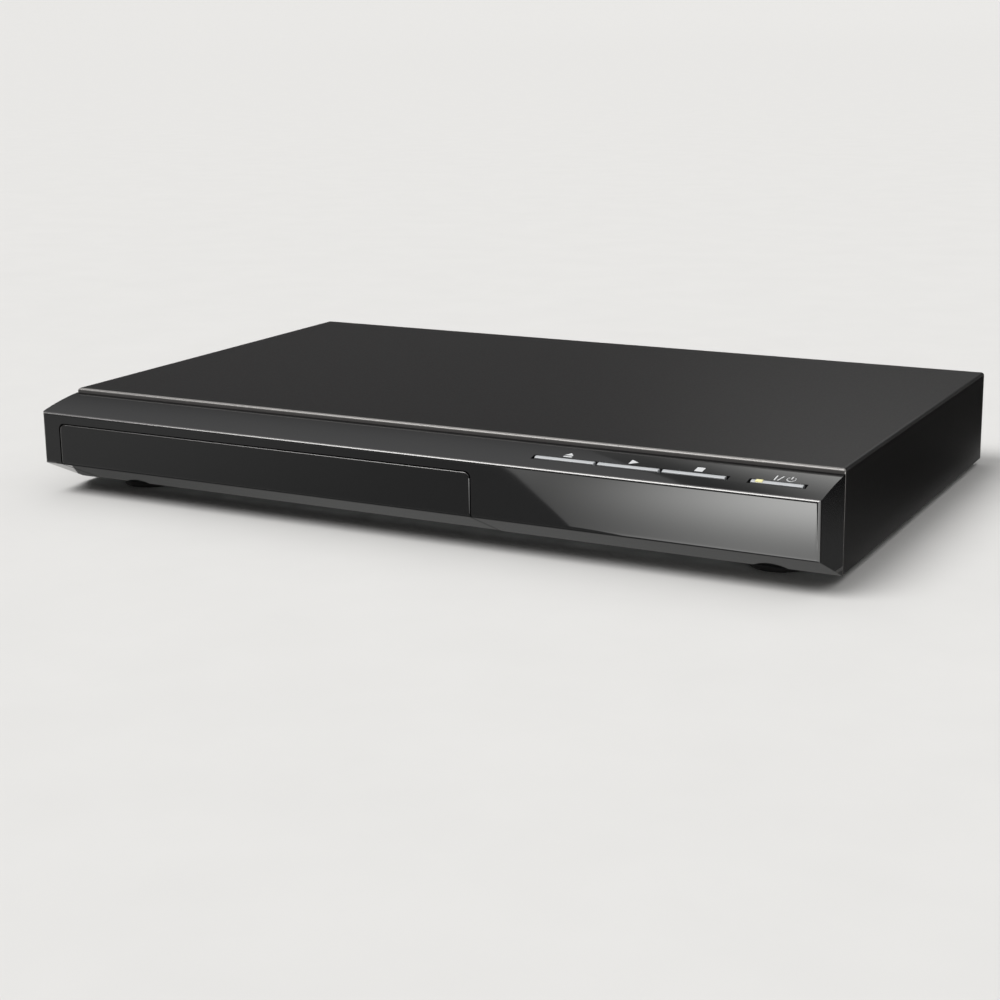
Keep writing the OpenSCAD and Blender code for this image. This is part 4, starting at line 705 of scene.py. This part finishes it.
@dataclass
class Loader:
    """Loader frame, tray, clamp, drive train and traverse. Sizes in mm."""

    tray_edge: float = 0.2

    def build(self) -> None:
        """Builds the loader."""
        edged_skin("disc_tray", TRAY_ABS, "tray", self.tray_edge)
        dress(FRAME_ABS, "loader_frame")
        dress(ZINC_SHEET, "clamp_bridge")
        dress(ACETAL, "clamper", "motor_pulley", "pulley_gear", "tray_gear", "cam_slider", "sled_motor_gear",
              "sled_gear")
        dress(FERRITE, "clamp_magnet")
        dress(MOTOR_CAN, "loading_motor", "spindle_motor", "sled_motor")
        dress(BELT_RUBBER, "drive_belt")
        dress(SATIN_ABS, "limit_switch", "lens_holder", "turntable")
        dress(ZINC_PLATE, "traverse_deck")
        dress(BUSH_RUBBER, "damper_bushes")
        dress(GROUND_ROD, "guide_rods")
        dress(DIE_CAST, "pickup_body")
        dress(COATED_LENS, "objective_lens")
        dress(BRIGHT_ZINC, "loader_screws", "board_screws")


@dataclass
class Boards:
    """Circuit boards, their parts and their cables."""

    def build(self) -> None:
        """Dresses the boards."""
        dress(SOLDER_MASK, "loader_board", "main_board")
        dress(PAPER_BOARD, "power_board")
        dress(CHIP_EPOXY, "main_chips")
        dress(TAPE, "transformer")
        dress(CAN_SLEEVE, "capacitors")
        dress(EXTRUDED, "heat_sink")
        dress(CONNECTOR, "cable_connectors")
        dress(CABLE_FILM, "key_flat_cable", "loader_flat_cable", "power_harness")


@dataclass
class RearSockets:
    """Sockets on the rear plate. Sizes in mm."""

    shell_edge: float = 0.12
    collar_edge: float = 0.2
    socket_edge: float = 0.1
    inlet_edge: float = 0.2

    def build(self) -> None:
        """Builds the sockets."""
        edged_skin("phono_shells", NICKEL, "root", self.shell_edge)
        edged_skin("phono_collars", JACK_COLLAR, "root", self.collar_edge)
        edged_skin("digital_av_socket", NICKEL, "root", self.socket_edge)
        edged_skin("power_inlet", SATIN_ABS, "root", self.inlet_edge)
        dress(SATIN_ABS, "av_jack_block", "coax_jack")
        dress(TINNED, "inlet_pins")


@dataclass
class Studio:
    """Camera at the photograph's angle, pale floor, cards and one soft light.

    Lengths are in metres, the camera's turns in radians, and the cards' places and the lens in mm.
    """

    azimuth: float = 0.478283
    elevation: float = 0.231679
    roll: float = 0.0095186
    distance: float = 0.76047
    target: tuple[float, float, float] = (-0.00498, 0.017, 0.00695)
    lens_mm: float = 66.0
    sensor_mm: float = 36.0
    shift: tuple[float, float] = (-0.035, -0.05)
    clip: tuple[float, float] = (0.01, 200.0)
    near_ring: float = 1.0
    sweep_start: float = 12.0
    floor_end: float = 30.0
    sweep_rise: float = 1.6
    backdrop_tone: str = "#e5e4e2"
    sun_strength: float = 2.35
    sun_spread_deg: float = 35.0
    sun_turn_deg: tuple[float, float, float] = (28.0, -24.0, 0.0)
    sky_slope: tuple[float, float] = (0.2, 0.95)
    sky_level: tuple[float, float] = (0.08, 0.9)

    def camera(self) -> None:
        """Sets the camera: back is the direction from the target to it, then it rolls about that line."""
        a, e = self.azimuth, self.elevation
        back = np.array((math.sin(a) * math.cos(e), -math.cos(a) * math.cos(e), math.sin(e)))
        right = np.array((math.cos(a), math.sin(a), 0.0))
        up = np.cross(back, right)
        c, s = math.cos(self.roll), math.sin(self.roll)
        turn = np.array(((c, -s, 0), (s, c, 0), (0, 0, 1))) @ np.array((right, up, back))
        lens = bpy.data.cameras.new("camera")
        lens.lens = self.lens_mm
        lens.sensor_width = self.sensor_mm
        lens.shift_x, lens.shift_y = self.shift
        lens.clip_start, lens.clip_end = self.clip
        camera = bpy.data.objects.new("camera", lens)
        camera.matrix_world = Matrix.Translation(Vector(np.array(self.target) + self.distance * back)) @ \
            Matrix(turn.T.tolist()).to_4x4()
        bpy.context.scene.collection.objects.link(camera)
        bpy.context.scene.camera = camera

    def floor(self) -> None:
        """A plain pale floor that sweeps up at its far rim.

        Point (u, v) is radius(u) along the direction at angle 2 pi v / 96, at height rise * t * t * (3 - 2 t)
        with t = (radius - start) / (end - start) kept between 0 and 1.
        """
        flat = np.linspace(self.near_ring, self.sweep_start, 4)
        radius = np.concatenate([[0.0], flat, np.linspace(self.sweep_start, self.floor_end, 14)[1:]])
        share = np.clip((radius - self.sweep_start) / (self.floor_end - self.sweep_start), 0, 1)
        profile = np.stack([radius, self.sweep_rise * share * share * (3 - 2 * share)], 1) / MM
        mesh = grid_mesh("floor", [turned(profile, (0, 0, 0), steps=96)], False, True)
        if mesh.polygons[0].normal.z < 0:
            mesh.flip_normals()
        mesh.materials.append(STUDIO_PAPER.material())
        floor = bpy.data.objects.new("floor", mesh)
        bpy.context.scene.collection.objects.link(floor)

    def card(self, name: str, corners: Sequence[Sequence[float]], ramps: Sequence[Sequence[float]]) -> None:
        """A light card that only mirrors see, so that it lights no surface.

        Point (u, v) is spread evenly between the four corners. Its light is the product of its ramps, and each
        runs from one level to another between two places along one axis.

        Args:
            name: the card's name.
            corners: four corners in mm, first the near two from left to right, then the far two.
            ramps: rows of axis, place, place, level and level, with the places in mm.
        """
        near_left, near_right, far_left, far_right = np.array(corners) * MM
        mesh = grid_mesh(name, [np.array([[near_left, far_left], [near_right, far_right]])], False, False)
        glow = bpy.data.materials.new(name + "_glow")
        glow.use_nodes = True
        tree = glow.node_tree
        tree.nodes.clear()
        parts = add_node(tree, "ShaderNodeSeparateXYZ", {0: add_node(tree, "ShaderNodeTexCoord").outputs["Object"]})
        level: Socket | float = 1.0
        for axis, start, end, low, high in ramps:
            step = add_node(tree, "ShaderNodeMapRange", {0: parts.outputs[axis], 1: start * MM, 2: end * MM, 3: low,
                                                         4: high}, interpolation_type="SMOOTHSTEP")
            level = add_node(tree, "ShaderNodeMath", {0: step.outputs[0], 1: level},
                             operation="MULTIPLY").outputs[0]
        light = add_node(tree, "ShaderNodeEmission", {"Color": CARD_WHITE, "Strength": level})
        add_node(tree, "ShaderNodeOutputMaterial", {"Surface": light.outputs[0]})
        mesh.materials.append(glow)
        card = bpy.data.objects.new(name, mesh)
        bpy.context.scene.collection.objects.link(card)
        card.visible_camera = card.visible_diffuse = card.visible_shadow = card.visible_transmission = False

    def cards(self) -> None:
        """Cards on the floor and behind, as a photographer sets for black gloss.

        A bright one lies in front of the face, with a slanted left end, and a dark one lies beside it. One under
        the front edge lifts the bevel, one high up behind lifts the right end of the slope, and a dark one keeps
        the right side black.
        """
        self.card("face_card", ((-48, -257, 0.6), (440, -257, 0.6), (85, -109, 0.6), (440, -90, 0.6)),
                  ((0, 5, 130, 1.5, 8.4), (1, -225, -145, 1.45, 0.5)))
        self.card("front_flag", ((-420, -330, 0.5), (-113, -330, 0.5), (-420, -109, 0.5), (85, -109, 0.5)),
                  ((0, -230, 0, 0.66, 0.4),))
        self.card("under_card", ((-165, -108, 0.4), (165, -108, 0.4), (-165, -60, 0.4), (165, -60, 0.4)),
                  ((0, -150, -20, 0.11, 0.16),))
        self.card("back_card", ((-420, 850, 400), (200, 850, 400), (-420, 850, 1050), (200, 850, 1050)),
                  ((0, -380, -120, 0.2, 1.45),))
        self.card("side_flag", ((166, -84, 0.8), (900, -84, 0.8), (166, 1500, 0.8), (900, 1500, 0.8)),
                  ((1, -60, 60, 0.12, 0.02),))

    def lights(self) -> None:
        """A wide soft sun from the upper left."""
        sun = bpy.data.lights.new("soft_sun", "SUN")
        sun.energy = self.sun_strength
        sun.angle = math.radians(self.sun_spread_deg)
        key = bpy.data.objects.new("soft_sun", sun)
        key.rotation_euler = [math.radians(turn) for turn in self.sun_turn_deg]
        bpy.context.scene.collection.objects.link(key)

    def world(self) -> None:
        """A white surround, dim at the horizon and brighter overhead.

        Camera rays see the pale backdrop tone instead. Mirror rays keep the dim horizon, because the gloss would
        lose its black to a pale one.
        """
        world = bpy.data.worlds.new("surround")
        world.use_nodes = True
        tree = world.node_tree
        tree.nodes.clear()
        way = add_node(tree, "ShaderNodeTexCoord").outputs["Generated"]
        parts = add_node(tree, "ShaderNodeSeparateXYZ", {0: way})
        (dim_at, bright_at), (dim, bright) = self.sky_slope, self.sky_level
        high = add_node(tree, "ShaderNodeMapRange", {0: parts.outputs[2], 1: dim_at, 2: bright_at, 3: dim, 4: bright},
                        interpolation_type="SMOOTHSTEP")
        seen = add_node(tree, "ShaderNodeLightPath").outputs["Is Camera Ray"]
        tone = add_node(tree, "ShaderNodeMix", {0: seen, 6: WHITE, 7: linear(self.backdrop_tone)},
                        data_type="RGBA").outputs[2]
        level = add_node(tree, "ShaderNodeMix", {0: seen, 2: high.outputs[0], 3: 1.0}).outputs[0]
        sky = add_node(tree, "ShaderNodeBackground", {"Color": tone, "Strength": level})
        add_node(tree, "ShaderNodeOutputWorld", {"Surface": sky.outputs[0]})
        bpy.context.scene.world = world

    def build(self) -> None:
        """Builds the studio."""
        bpy.context.scene.view_settings.view_transform = "Standard"
        self.camera()
        self.floor()
        self.cards()
        self.lights()
        self.world()


def main() -> None:
    """Builds every sub-assembly in order."""
    logging.basicConfig(level=logging.INFO, format="%(name)s: %(message)s")
    for part in (Studio(), Case(), FrontPanel(), KeyBoard(), Loader(), Boards(), RearSockets()):
        LOG.info("building %s", type(part).__name__)
        part.build()


if __name__ == "__main__":
    main()
